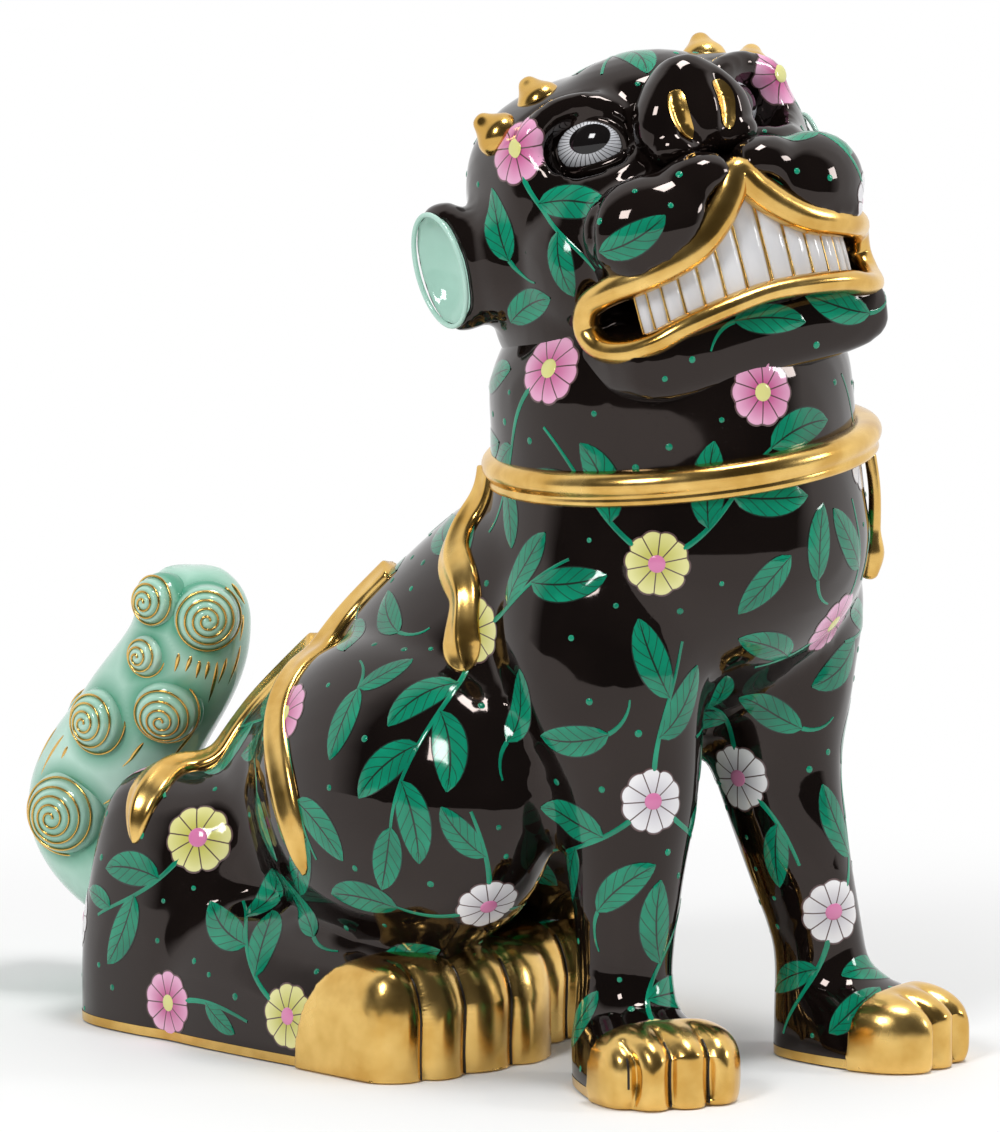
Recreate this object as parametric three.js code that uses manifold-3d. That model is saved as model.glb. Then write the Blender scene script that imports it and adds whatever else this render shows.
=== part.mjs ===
// A seated guardian lion in glazed porcelain, as the moulded pieces that the potter lutes together.
// Millimetres, +Z up. The lion faces -Y and its left side is +X.
import * as THREE from "three";
import { mergeVertices } from "three/addons/utils/BufferGeometryUtils.js";
import Module from "manifold-3d";

const wasm = await Module();
wasm.setup();
const { clamp, degToRad, lerp } = THREE.MathUtils;

// Driving dimensions
const LUTE_GAP = 0.3; // width of the slip joint between two pieces
const NECK_RADIUS = 71;
const COLLAR_Z = 240;
const COLLAR_ROLL = 8; // degrees that the collar drops on the lion's right
const CHEST_Y = -31; // the chest column stands this far forward of the shoulder line
const HIP_X = -34; // the hips swing to the lion's right
const HAUNCH_OUT = 91; // from the middle of the hips to the outside of a haunch
const LEFT_HAUNCH_BACK = 24; // the left haunch sits this much further back
const LEFT_PAW = { x: 45, y: -68, splay: 14 }; // place of the ankle, degrees that the paw turns outwards
const RIGHT_PAW = { x: -55, y: -57, splay: -19 };
const HEAD_PLACE = [-6, -28, 322];
const HEAD_TURN = { yaw: 19, pitch: 8, roll: 12.5 }; // degrees: to its right, up, right ear down

// Materials: the colours of the glaze, the gilding and the enamels
const finish = (color, roughness, metalness = 0) =>
  new THREE.MeshStandardMaterial({ color, roughness, metalness });
const blackGlaze = () => finish(0x1a1311, 0.08);
const gilding = () => finish(0xd9a441, 0.22, 1);
const mintGlaze = () => finish(0x8fc9b4, 0.12);
const toothEnamel = () => finish(0xe4e4e2, 0.1);
const eyeEnamel = () => finish(0xdcdcdc, 0.08);

// Boolean helpers
function solid(geometry) {
  const bare = new THREE.BufferGeometry();
  bare.setAttribute("position", geometry.getAttribute("position"));
  bare.setIndex(geometry.getIndex());
  const merged = mergeVertices(bare, 1e-4);
  const corners = merged.index.array;
  const faces = [];
  for (let i = 0; i < corners.length; i += 3) {
    const [a, b, c] = corners.subarray(i, i + 3);
    if (a !== b && b !== c && c !== a) faces.push(a, b, c); // a turned shape has flat slivers on its axis
  }
  const mesh = new wasm.Mesh({
    numProp: 3,
    vertProperties: merged.attributes.position.array,
    triVerts: new Uint32Array(faces),
  });
  return new wasm.Manifold(mesh);
}

const join = (...solids) => solids.reduce((whole, next) => whole.add(next));
const cut = (whole, ...tools) => tools.reduce((left, tool) => left.subtract(tool), whole);
const mirrored = (made) => made.mirror([1, 0, 0]);
const bothSides = (made) => join(made, mirrored(made));
// The room that a piece takes up: its own body and the slip joint round it
const roomOf = (make) => join(make(), make(LUTE_GAP));

// A cut can leave a chip behind a neighbour. The piece itself is the largest body.
function largestBody(made) {
  const bodies = made.decompose();
  return bodies.reduce((best, body) => (body.volume() > best.volume() ? body : best));
}

function geometryOf(made) {
  const { numVert, numProp, vertProperties, triVerts } = made.getMesh();
  const places = new Float32Array(numVert * 3);
  for (let i = 0; i < numVert; i++) {
    places.set(vertProperties.subarray(i * numProp, i * numProp + 3), i * 3);
  }
  const geometry = new THREE.BufferGeometry();
  geometry.setAttribute("position", new THREE.BufferAttribute(places, 3));
  geometry.setIndex(new THREE.BufferAttribute(triVerts, 1));
  return geometry;
}

const figure = new THREE.Group();
function place(name, made, material, group = figure) {
  const mesh = new THREE.Mesh(geometryOf(largestBody(made)), material);
  mesh.name = name;
  group.add(mesh);
}

// Shape helpers
const vector = (values) => new THREE.Vector3(...values);
const DOME_STEPS = 3;

function meshSolid(places, faces) {
  const geometry = new THREE.BufferGeometry();
  geometry.setAttribute("position", new THREE.Float32BufferAttribute(places, 3));
  geometry.setIndex(faces);
  return solid(geometry);
}

// The stops along a loft: even rings, with quarter-round steps where an end is domed.
function loftStops(rings, [start, end], closed) {
  const quarter = (i) => (i / DOME_STEPS) * (Math.PI / 2);
  const stops = [];
  for (let i = 1; i < DOME_STEPS && start; i++) {
    stops.push({ t: start * (1 - Math.cos(quarter(i))), share: Math.sin(quarter(i)) });
  }
  for (let i = 0; i < rings + (closed ? 0 : 1); i++) {
    stops.push({ t: start + (i / rings) * (1 - start - end), share: 1 });
  }
  for (let i = DOME_STEPS - 1; i >= 1 && end; i--) {
    stops.push({ t: 1 - end * (1 - Math.cos(quarter(i))), share: Math.sin(quarter(i)) });
  }
  return stops;
}

// A spine with oval sections along it. A section is [x, y, z, half width, half depth]. The width lies
// along `across`, which is a direction or a rule that gives one at a point of the spine.
function spineOf(sections, across = [1, 0, 0], closed = false) {
  const middles = sections.map(([x, y, z]) => new THREE.Vector3(x, y, z));
  const halves = sections.map((section) => new THREE.Vector3(section[3], section[4], 0));
  const spine = new THREE.CatmullRomCurve3(middles, closed);
  const girth = new THREE.CatmullRomCurve3(halves, closed);
  return (t) => {
    const centre = spine.getPoint(t);
    const along = spine.getTangent(t);
    const wide = vector(typeof across === "function" ? across(centre) : across);
    const width = wide.addScaledVector(along, -along.dot(wide)).normalize();
    return { centre, along, width, depth: along.clone().cross(width), half: girth.getPoint(t) };
  };
}

// A skin over the ovals of a spine. `square` above 2 makes the ovals boxier. `domes` are the shares of the
// spine, at its start and its end, over which the skin rounds off. `grow` swells the whole skin evenly.
// A closed spine makes a ring.
function loft(sections, options = {}) {
  const { sides = 20, rings = 8, across, square = 2, domes = [0, 0], grow = 0, closed = false } = options;
  const at = spineOf(sections, across, closed);
  const stops = loftStops(rings, domes, closed);
  const bend = (value) => Math.sign(value) * Math.abs(value) ** (2 / square);
  const places = [];
  for (const { t, share } of stops) {
    const { centre, width, depth, half } = at(t);
    for (let i = 0; i < sides; i++) {
      const angle = (i / sides) * 2 * Math.PI;
      const point = centre
        .clone()
        .addScaledVector(width, (half.x + grow) * share * bend(Math.cos(angle)))
        .addScaledVector(depth, (half.y + grow) * share * bend(Math.sin(angle)));
      places.push(...point);
    }
  }
  const faces = [];
  for (let ring = 0; ring < stops.length - (closed ? 0 : 1); ring++) {
    const here = ring * sides;
    const ahead = ((ring + 1) % stops.length) * sides;
    for (let i = 0; i < sides; i++) {
      const next = (i + 1) % sides;
      faces.push(here + i, here + next, ahead + next, here + i, ahead + next, ahead + i);
    }
  }
  if (!closed) {
    const pole = places.length / 3;
    const lastRing = (stops.length - 1) * sides;
    const [start, end] = [at(0), at(1)];
    places.push(...start.centre.addScaledVector(start.along, -grow));
    places.push(...end.centre.addScaledVector(end.along, grow));
    for (let i = 0; i < sides; i++) {
      const next = (i + 1) % sides;
      faces.push(pole, next, i, pole + 1, lastRing + i, lastRing + next);
    }
  }
  return meshSolid(places, faces);
}

// A ball stretched to three half sizes, tipped about X, then leaned about Z
function ball(centre, halves, { lean = 0, tip = 0, facets = 14, grow = 0 } = {}) {
  const geometry = new THREE.SphereGeometry(1, facets, Math.round(facets * 0.6));
  geometry.scale(...halves.map((half) => half + grow));
  geometry.rotateX(degToRad(tip));
  geometry.rotateZ(degToRad(lean));
  geometry.translate(...centre);
  return solid(geometry);
}

function turned(profile, segments) {
  const points = profile.map(([radius, height]) => new THREE.Vector2(radius, height));
  return new THREE.LatheGeometry(points, segments).rotateX(Math.PI / 2);
}

// Everything under the table top is sliced away, so that feet and haunches stand flat.
const BELOW_TABLE = solid(new THREE.BoxGeometry(800, 900, 200).translate(0, 0, -100));

// Trunk: an upright column of chest and neck, and a barrel that slopes from it back into the rump
function trunk(grow = 0) {
  const r = NECK_RADIUS;
  const column = loft(
    [
      [-6, CHEST_Y + 3, COLLAR_Z + 58, r - 15, r - 15],
      [-4, CHEST_Y + 1, COLLAR_Z + 28, r, r - 1],
      [-2, CHEST_Y, COLLAR_Z, r, r],
      [0, CHEST_Y + 1, COLLAR_Z - 44, r + 5, r + 5],
      [0, CHEST_Y + 6, COLLAR_Z - 108, r - 4, r - 10],
    ],
    { sides: 22, rings: 6, domes: [0, 0.3], grow },
  );
  const barrel = loft(
    [
      [0, CHEST_Y + 4, COLLAR_Z - 46, r + 1, r - 8],
      [HIP_X * 0.25, CHEST_Y + 52, COLLAR_Z - 80, r + 3, r - 5],
      [HIP_X * 0.6, CHEST_Y + 96, COLLAR_Z - 118, r + 1, r - 6],
      [HIP_X, CHEST_Y + 142, COLLAR_Z - 158, r - 1, r - 9],
      [HIP_X, CHEST_Y + 214, COLLAR_Z - 214, r - 9, r - 22],
    ],
    { sides: 22, rings: 6, domes: [0.1, 0.28], grow },
  );
  return cut(join(column, barrel), BELOW_TABLE);
}
const trunkRoom = roomOf(trunk);
place("trunk", trunk(), blackGlaze());

// Haunch: the thigh, the upright hock at the back and the long foot on the ground.
// Made for the lion's right, with x counted outwards from the middle of the hips.
const PAST_MIDDLE = solid(new THREE.BoxGeometry(200, 900, 900).translate(100 - LUTE_GAP, 0, 0));
const TOE_JOINT = { y: 40, slant: 22, tall: 50 }; // the toe row meets the foot on a slanted upright face
function aheadOfToeJoint(gap) {
  const block = new THREE.BoxGeometry(300, 200, 2 * TOE_JOINT.tall + 2 * gap);
  block.translate(0, gap - 100, 0);
  block.rotateZ(degToRad(-TOE_JOINT.slant));
  return solid(block.translate(-HAUNCH_OUT / 2, TOE_JOINT.y, 0));
}
function haunch(grow = 0) {
  const out = -HAUNCH_OUT;
  const thigh = ball([out + 48, 43, 103], [47, 76, 64], { lean: -4, facets: 14, grow });
  const hock = loft(
    [
      [out + 44, 156, -30, 43.5, 46],
      [out + 44, 156, 30, 44, 46],
      [out + 47, 152, 74, 42, 43],
      [out + 51, 147, 104, 35, 36],
    ],
    { sides: 16, rings: 4, square: 3, domes: [0, 0.25], grow },
  );
  const foot = loft(
    [
      [out + 44, 176, 10, 38, 42],
      [out + 44, 110, 14, 44, 44],
      [out + 45, 62, 10, 44, 42],
      [out + 46, 20, 6, 42, 40],
    ],
    { sides: 16, rings: 4, square: 3, domes: [0.1, 0], grow },
  );
  return cut(join(thigh, hock, cut(foot, aheadOfToeJoint(-grow))), PAST_MIDDLE);
}

// Four hind toes side by side; the outer one wraps round the corner of the foot
const HIND_TOES = [
  { out: 17, half: 17, front: 0, tall: 47 },
  { out: 42, half: 13, front: -5, tall: 50 },
  { out: 63, half: 12, front: -5, tall: 50 },
  { out: 82, half: 11, front: -3, tall: 48 },
];
const HIND_TOE_BACK = 70;
function hindToes() {
  const toes = HIND_TOES.map(({ out, half, front, tall }) => {
    const x = out - HAUNCH_OUT;
    const sections = [
      [x, HIND_TOE_BACK, 0, half, tall],
      [x, 30, 0, half, tall],
      [x, front, 0, half - 2, tall - 10],
    ];
    return loft(sections, { sides: 10, rings: 2, square: 2.4, domes: [0, 0.4] });
  });
  const row = join(...toes).intersect(aheadOfToeJoint(-LUTE_GAP));
  return cut(row, PAST_MIDDLE);
}

const rightHip = (made) => made.translate([HIP_X, 0, 0]);
const leftHip = (made) => mirrored(made).translate([HIP_X, LEFT_HAUNCH_BACK, 0]);
const rightHaunchRoom = rightHip(roomOf(haunch));
const leftHaunchRoom = leftHip(roomOf(haunch));
place("right_haunch", cut(rightHip(haunch()), BELOW_TABLE, trunkRoom), blackGlaze());
place("left_haunch", cut(leftHip(haunch()), BELOW_TABLE, trunkRoom), blackGlaze());
place("right_hind_toes", cut(rightHip(hindToes()), BELOW_TABLE, rightHaunchRoom, trunkRoom), gilding());
place("left_hind_toes", cut(leftHip(hindToes()), BELOW_TABLE, leftHaunchRoom, trunkRoom), gilding());

// Foreleg: shoulder, forearm and ankle in one casting, with the paw under it.
// The left knee is drawn in under the chest; the right leg stands straighter.
const LEFT_ARM = [
  [28, -24, 216, 20, 28],
  [41, -32, 178, 42, 46],
  [35, -46, 144, 33, 37],
  [33, -54, 112, 24, 26],
  [36, -62, 78, 20, 22],
  [LEFT_PAW.x - 1, LEFT_PAW.y + 2, 44, 17.5, 19],
  [LEFT_PAW.x, LEFT_PAW.y, 14, 20, 20],
];
const RIGHT_ARM = [
  [-28, -24, 216, 20, 28],
  [-41, -32, 178, 42, 46],
  [-47, -40, 144, 37, 41],
  [-48, -50, 112, 28, 30],
  [-52, -55, 78, 21, 23],
  [RIGHT_PAW.x + 1, RIGHT_PAW.y + 1, 44, 18, 19.5],
  [RIGHT_PAW.x, RIGHT_PAW.y, 14, 20, 20],
];
const FORE_TOE_JOINT = -27; // the toes meet the paw on an upright face, this far ahead of the ankle
const underAnkle = (made, { x, y, splay }) => made.rotate([0, 0, splay]).translate([x, y, 0]);
function foreleg(arm, paw, grow = 0) {
  const limb = loft(arm, { sides: 14, rings: 9, domes: [0.1, 0], grow });
  const foot = loft(
    [
      [0, 17, 4, 17, 20],
      [0, -3, 8, 22.5, 28],
      [0, FORE_TOE_JOINT - grow, 2, 27, 28],
    ],
    { sides: 14, rings: 3, square: 2.5, domes: [0.2, 0], grow },
  );
  return join(limb, underAnkle(foot, paw));
}

// Four fore toes from the outer one to the inner one, fanned a little and longest in the middle
const FORE_TOES = [
  { side: 20, reach: 55, tall: 25 },
  { side: 6.7, reach: 63, tall: 28 },
  { side: -6.7, reach: 64, tall: 28 },
  { side: -20, reach: 58, tall: 26 },
];
const FORE_TOE_HALF = 8;
const FAN = 0.12; // sideways lean of a toe for each millimetre off the middle of the paw
function foreToes() {
  const joint = FORE_TOE_JOINT - LUTE_GAP;
  const toes = FORE_TOES.map(({ side, reach, tall }) => {
    const sections = [
      [side, joint, 0, FORE_TOE_HALF - 0.5, tall],
      [side * (1 + FAN / 2), (joint - reach) / 2, 0, FORE_TOE_HALF, tall],
      [side * (1 + FAN), -reach, 0, FORE_TOE_HALF - 1, tall - 8],
    ];
    return loft(sections, { sides: 8, rings: 2, domes: [0, 0.45] });
  });
  return join(...toes);
}

const leftLegRoom = foreleg(LEFT_ARM, LEFT_PAW, LUTE_GAP);
const rightLegRoom = foreleg(RIGHT_ARM, RIGHT_PAW, LUTE_GAP);
const leftToes = underAnkle(foreToes(), LEFT_PAW);
const rightToes = underAnkle(mirrored(foreToes()), RIGHT_PAW);
const leftLeg = cut(foreleg(LEFT_ARM, LEFT_PAW), BELOW_TABLE, trunkRoom, leftHaunchRoom);
const rightLeg = cut(foreleg(RIGHT_ARM, RIGHT_PAW), BELOW_TABLE, trunkRoom, rightHaunchRoom);
place("left_foreleg", leftLeg, blackGlaze());
place("right_foreleg", rightLeg, blackGlaze());
place("left_fore_toes", cut(leftToes, BELOW_TABLE, leftLegRoom), gilding());
place("right_fore_toes", cut(rightToes, BELOW_TABLE, rightLegRoom), gilding());
const bodyRooms = [trunkRoom, rightHaunchRoom, leftHaunchRoom, rightLegRoom, leftLegRoom];

// Collar: a turned band with a bold upper roll and a bead under it, sunk against the neck
const COLLAR_TALL = 14;
const COLLAR_PROUD = 7;
function collar(grow = 0) {
  const inner = NECK_RADIUS - 6;
  const outer = NECK_RADIUS + COLLAR_PROUD + grow;
  const half = COLLAR_TALL / 2 + grow;
  const profile = [
    [inner, -half],
    [outer - 2.5, -half * 0.8],
    [outer - 2.5, -half * 0.3],
    [outer, half * 0.3],
    [outer - 3, half],
    [inner, half],
    [inner, -half],
  ];
  const band = turned(profile, 20);
  band.rotateY(degToRad(-COLLAR_ROLL));
  band.translate(0, CHEST_Y - 2, COLLAR_Z - 2);
  return solid(band);
}
const collarRoom = roomOf(collar);
place("collar", cut(collar(), trunkRoom), gilding());

// Gilt streamers: ribbons with a raised spine that ripple down from the collar over back and haunches.
// Their middles run along the skin of the body, so that half of each ribbon stands out of it.
const STREAMER_HALF = 7.5;
const STREAMER_THICK = 6.4;
const RIGHT_STREAMERS = {
  shoulder: [
    [-54, 20, 232],
    [-62, 24, 214],
    [-71, 20, 198],
    [-78, 7, 184],
    [-82, 5, 168],
    [-84, 1, 154],
  ],
  flank: [
    [-50, 72, 184],
    [-58, 86, 171],
    [-75, 92, 157],
    [-95, 86, 146],
    [-111, 79, 131],
    [-121, 67, 112],
    [-123, 58, 92],
    [-118, 55, 74],
  ],
  haunch: [
    [-58, 106, 152],
    [-60, 126, 134],
    [-66, 142, 119],
    [-80, 153, 111],
    [-96, 159, 106],
    [-113, 156, 94],
    [-122, 154, 76],
  ],
};
// The left streamers mirror them about the bent line of the back, and follow the haunch further back.
const HAUNCH_FROM = 40; // behind this line the outer part of a streamer lies on a haunch
function onLeft([x, y, z]) {
  const downBack = clamp((0.72 * y - 0.69 * z + 157) / 180, 0, 1);
  const back = HIP_X * downBack ** 1.3;
  const ontoHaunch = y > HAUNCH_FROM ? clamp((back - x - 50) / 30, 0, 1) : 0;
  const middle = lerp(back, HIP_X, ontoHaunch);
  return [2 * middle - x, y + LEFT_HAUNCH_BACK * ontoHaunch, z];
}
function streamer(points, across) {
  const sections = points.map((point, i) => {
    const along = i / (points.length - 1);
    const share = Math.min(1, 0.3 + 3 * (1 - along), 0.7 + 2 * along);
    return [...point, STREAMER_HALF * share, STREAMER_THICK * share];
  });
  return loft(sections, { sides: 6, rings: 9, domes: [0.04, 0.06], across });
}
for (const [name, points] of Object.entries(RIGHT_STREAMERS)) {
  const right = streamer(points, [0.72, 0.69, 0.1]);
  const left = streamer(points.map(onLeft), [-0.72, 0.69, 0.1]);
  place(`right_${name}_streamer`, cut(right, ...bodyRooms, collarRoom), gilding());
  place(`left_${name}_streamer`, cut(left, ...bodyRooms, collarRoom), gilding());
}

// Collar drop: a thin strand with a bead at its end, at the left front of the chest
const collarDrop = loft(
  [
    [53, -83, 238, 2.4, 2.4],
    [55, -84, 222, 2.4, 2.4],
    [56, -83, 207, 2.6, 2.6],
    [56, -82, 197, 5, 4.6],
    [55, -81, 187, 3, 3],
  ],
  { sides: 6, rings: 6, domes: [0, 0.08] },
);
place("collar_drop", cut(collarDrop, ...bodyRooms, collarRoom), gilding());

// Tail: a plume that leaves the rump, swells behind it and rolls forward at its top
const TAIL_SECTIONS = [
  [-44, 180, 46, 18, 18],
  [-52, 226, 46, 26, 24],
  [-56, 252, 74, 31, 30],
  [-54, 226, 112, 31, 28],
  [-52, 199, 148, 27, 25],
  [-52, 196, 182, 22, 22],
];
const TAIL_ACROSS = [0.72, 0.69, 0];
const tailLoft = { sides: 14, rings: 8, domes: [0.1, 0.14], across: TAIL_ACROSS };
const tailRoom = loft(TAIL_SECTIONS, { ...tailLoft, grow: LUTE_GAP });
const tail = cut(loft(TAIL_SECTIONS, tailLoft), BELOW_TABLE, trunkRoom, rightHaunchRoom, leftHaunchRoom);
place("tail_plume", tail, mintGlaze());

// Tail curl: a low dome whose skin is one ridge winding in to its tip, with a groove beside it
const CURL_TURNS = 2.5;
const CURL_SECTORS = 10;
const CURL_SUNK = 7; // how far its rim goes into the plume before the plume is cut away
function curl(radius) {
  const count = CURL_TURNS * CURL_SECTORS;
  const pitch = radius / (CURL_TURNS + 0.5);
  const dome = (r) => 0.75 * radius * (1 - (r / radius) ** 2);
  const rim = (n) => radius - (pitch * n) / CURL_SECTORS;
  const spot = (n, r, z) => {
    const angle = (n / CURL_SECTORS) * 2 * Math.PI;
    return [r * Math.cos(angle), r * Math.sin(angle), z];
  };
  const places = [];
  for (let n = 0; n <= count; n++) {
    places.push(...spot(n, rim(n), dome(rim(n))));
  }
  for (let n = 0; n <= count; n++) {
    const valley = rim(n) - pitch / 2;
    places.push(...spot(n, valley, dome(valley) - pitch * 0.45));
  }
  for (let n = 0; n <= CURL_SECTORS; n++) {
    places.push(...spot(n, rim(n), -CURL_SUNK));
  }
  const groove = (n) => count + 1 + n;
  const base = (n) => 2 * count + 2 + n;
  const tip = base(CURL_SECTORS + 1);
  const under = tip + 1;
  places.push(0, 0, dome(0) - pitch * 0.2, 0, 0, -CURL_SUNK);

  const faces = [];
  const quad = (a, b, c, d) => faces.push(a, b, c, a, c, d);
  for (let n = 0; n < count; n++) {
    quad(n, n + 1, groove(n + 1), groove(n));
  }
  for (let n = 0; n < count - CURL_SECTORS; n++) {
    quad(groove(n), groove(n + 1), n + 1 + CURL_SECTORS, n + CURL_SECTORS);
  }
  for (let n = count - CURL_SECTORS; n < count; n++) {
    faces.push(groove(n), groove(n + 1), tip);
  }
  for (let n = 0; n < CURL_SECTORS; n++) {
    quad(base(n), base(n + 1), n + 1, n);
    faces.push(base(n + 1), base(n), under);
  }
  const turn = CURL_SECTORS;
  faces.push(base(turn), base(0), 0, base(turn), 0, groove(0), base(turn), groove(0), turn);
  faces.push(base(0), base(turn), under);
  faces.push(groove(count - turn), tip, groove(count), groove(count - turn), groove(count), count);
  return meshSolid(places, faces);
}

// A curl sits on the plume at a share of its spine and an angle round it.
const CURLS = [
  { along: 0.92, round: 123, radius: 11.5 },
  { along: 0.88, round: 195, radius: 14.5 },
  { along: 0.78, round: 141, radius: 9.5 },
  { along: 0.62, round: 135, radius: 15 },
  { along: 0.72, round: 186, radius: 15 },
  { along: 0.45, round: 153, radius: 19 },
  { along: 0.84, round: 20, radius: 14 },
  { along: 0.5, round: 30, radius: 18 },
];
const tailAt = spineOf(TAIL_SECTIONS, TAIL_ACROSS);
CURLS.forEach(({ along, round, radius }, i) => {
  const { centre, width, depth, half } = tailAt(along);
  const angle = degToRad(round);
  const spot = centre
    .clone()
    .addScaledVector(width, half.x * Math.cos(angle))
    .addScaledVector(depth, half.y * Math.sin(angle));
  const outward = spot.clone().sub(centre).normalize();
  const turn = new THREE.Quaternion().setFromUnitVectors(vector([0, 0, 1]), outward);
  const matrix = new THREE.Matrix4().compose(spot, turn, vector([1, 1, 1]));
  const made = curl(radius).transform(matrix.elements);
  place(`tail_curl_${i + 1}`, cut(made, tailRoom, ...bodyRooms), mintGlaze());
});

// Head frame: x to its left, -y forward, z up, with its origin at the middle of the skull
const head = new THREE.Group();
head.position.set(...HEAD_PLACE);
const { yaw, pitch, roll } = HEAD_TURN;
head.rotation.set(-degToRad(pitch), -degToRad(roll), -degToRad(yaw), "ZXY");
head.updateMatrix();
figure.add(head);
const neckRoom = trunkRoom.transform(head.matrix.clone().invert().elements);

// The plan of the muzzle is a boxy oval, and lips, teeth and mouth all follow it.
const MUZZLE = { half: 63, reach: 78, back: 4, square: 3.2 };
function muzzleY(x, inset = 0) {
  const side = Math.min(1, Math.abs(x) / (MUZZLE.half - inset));
  return MUZZLE.back - (MUZZLE.reach - inset) * (1 - side ** MUZZLE.square) ** (1 / MUZZLE.square);
}

// Lip moulding: one closed gilt roll, pointed under the nose and turned round at both corners.
// A point is [x, z, half height of the roll], from under the nose round to the middle of the chin.
const LIP_THICK = 5.8;
const LIP_SUNK = 2;
const HALF_LOOP = [
  [0, 16, 6.4],
  [6, 9, 6.6],
  [14, 1, 6.8],
  [24, -6, 6.8],
  [36, -10.5, 6.4],
  [46, -13, 6],
  [54, -14.8, 5.6],
  [58.6, -18.5, 5.2],
  [59.8, -26.5, 5],
  [58.6, -34, 5],
  [54, -38, 5],
  [46, -37.5, 4.6],
  [36, -34.5, 4.4],
  [18, -31.5, 4.2],
  [0, -30, 4],
];
const otherHalf = HALF_LOOP.slice(1, -1).map(([x, z, high]) => [-x, z, high]).reverse();
const lipLoop = [...HALF_LOOP, ...otherHalf];
function lips(grow = 0) {
  const sections = lipLoop.map(([x, z, high]) => [x, muzzleY(x) + LIP_SUNK, z, LIP_THICK, high]);
  const outwards = ({ x, y }) => [x, y + 10, 0];
  return loft(sections, { closed: true, sides: 6, rings: 32, across: outwards, grow });
}

// The mouth: the outline of the lip loop sunk straight back, round a core that carries the teeth
const MOUTH_DEEP = 17;
const OUTLINE_STEPS = 15;
function mouthOutline(grow) {
  const middle = new THREE.Vector2(0, -18);
  const loop = new THREE.SplineCurve([...lipLoop, lipLoop[0]].map(([x, z]) => new THREE.Vector2(x, z)));
  const points = loop.getPoints(2 * OUTLINE_STEPS).slice(1);
  return points.map((point) => {
    const away = point.clone().sub(middle);
    return point.addScaledVector(away, grow / away.length());
  });
}
function muzzleCore(inset) {
  const half = MUZZLE.half - inset;
  const front = [];
  for (let i = 0; i <= OUTLINE_STEPS; i++) {
    const x = half * Math.cos((i / OUTLINE_STEPS) * Math.PI);
    front.push(new THREE.Vector2(x, -muzzleY(x, inset)));
  }
  const block = new THREE.ExtrudeGeometry(new THREE.Shape(front), { depth: 120, bevelEnabled: false });
  return solid(block.rotateX(Math.PI).translate(0, 0, 60));
}
function mouth(grow = 0) {
  const outline = new THREE.Shape(mouthOutline(grow).reverse());
  const slot = new THREE.ExtrudeGeometry(outline, { depth: 80, bevelEnabled: false });
  return cut(solid(slot.rotateX(Math.PI / 2).translate(0, -24, 0)), muzzleCore(MOUTH_DEEP));
}

// Skull and muzzle in one boxy casting with hollow eye sockets. Brows, eyelids, cheeks, jowls and lip lobes
// stand out of it.
const EYE_PLACE = [27, -19.5, 40];
const EYE_LEAN = 50; // degrees that an eye looks outwards
const SOCKET_PLACE = [36.2, -27.2, 38];
const BROW_SPINE = [
  [58, -15, 42, 4.5, 4.5],
  [53, -18, 49, 5.5, 5.5],
  [45, -20, 54, 5.5, 5.5],
  [37, -22.5, 56, 5.5, 5.5],
  [28.5, -26, 54.5, 5.5, 5.5],
  [21.5, -30, 49, 5, 5],
  [17, -33.5, 43, 4, 4],
];
function skull(grow = 0) {
  const block = loft(
    [
      [0, 58, 6, 44, 36],
      [0, 40, 4, 60, 52],
      [0, 12, 7, 68, 61],
      [0, -10, 8, 67, 57],
      [0, -28, 5, 55, 36],
      [0, -42, 0, 54, 25],
      [0, -56, -2, 54, 25],
      [0, -72, 5, 50, 20],
    ],
    { sides: 16, rings: 7, square: 3.2, domes: [0.1, 0.08], grow },
  );
  const forehead = ball([0, -5, 46], [40, 31, 25], { facets: 9, grow });
  const brow = loft(BROW_SPINE, { sides: 5, rings: 5, grow });
  const socket = ball(SOCKET_PLACE, [18, 14, 14.5], { lean: EYE_LEAN, facets: 8, grow: -grow });
  const eyelids = ball(EYE_PLACE, [19.5, 11, 15], { lean: EYE_LEAN, facets: 10, grow });
  const cheek = ball([49, -24, 10], [12, 21, 17], { lean: -6, facets: 8, grow });
  const jowl = ball([57, -14, -4], [11, 26, 24], { facets: 8, grow });
  const lobe = ball([35, -60, 5], [26, 17, 20], { lean: 20, facets: 9, grow });
  const innerLobe = ball([14, -66, 16], [17, 12, 12], { lean: 10, facets: 7, grow });
  const hollowed = cut(join(block, forehead), bothSides(socket));
  return join(hollowed, bothSides(join(brow, eyelids, cheek, jowl, lobe, innerLobe)));
}
const skullRoom = roomOf(skull);
const lipRoom = roomOf(lips);
const mouthRoom = mouth(LUTE_GAP);
place("skull", cut(skull(), neckRoom, lipRoom, mouthRoom), blackGlaze(), head);
place("lip_moulding", lips(), gilding(), head);

const jaw = loft(
  [
    [0, 40, -32, 56, 14],
    [0, 14, -36, 66, 14],
    [0, -20, -40, 64, 14],
    [0, -46, -45, 60, 15],
    [0, -66, -49, 54, 15],
  ],
  { sides: 12, rings: 4, square: 4, domes: [0.1, 0.1] },
);
place("lower_jaw", cut(jaw, skullRoom, neckRoom, lipRoom, mouthRoom), blackGlaze(), head);

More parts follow.
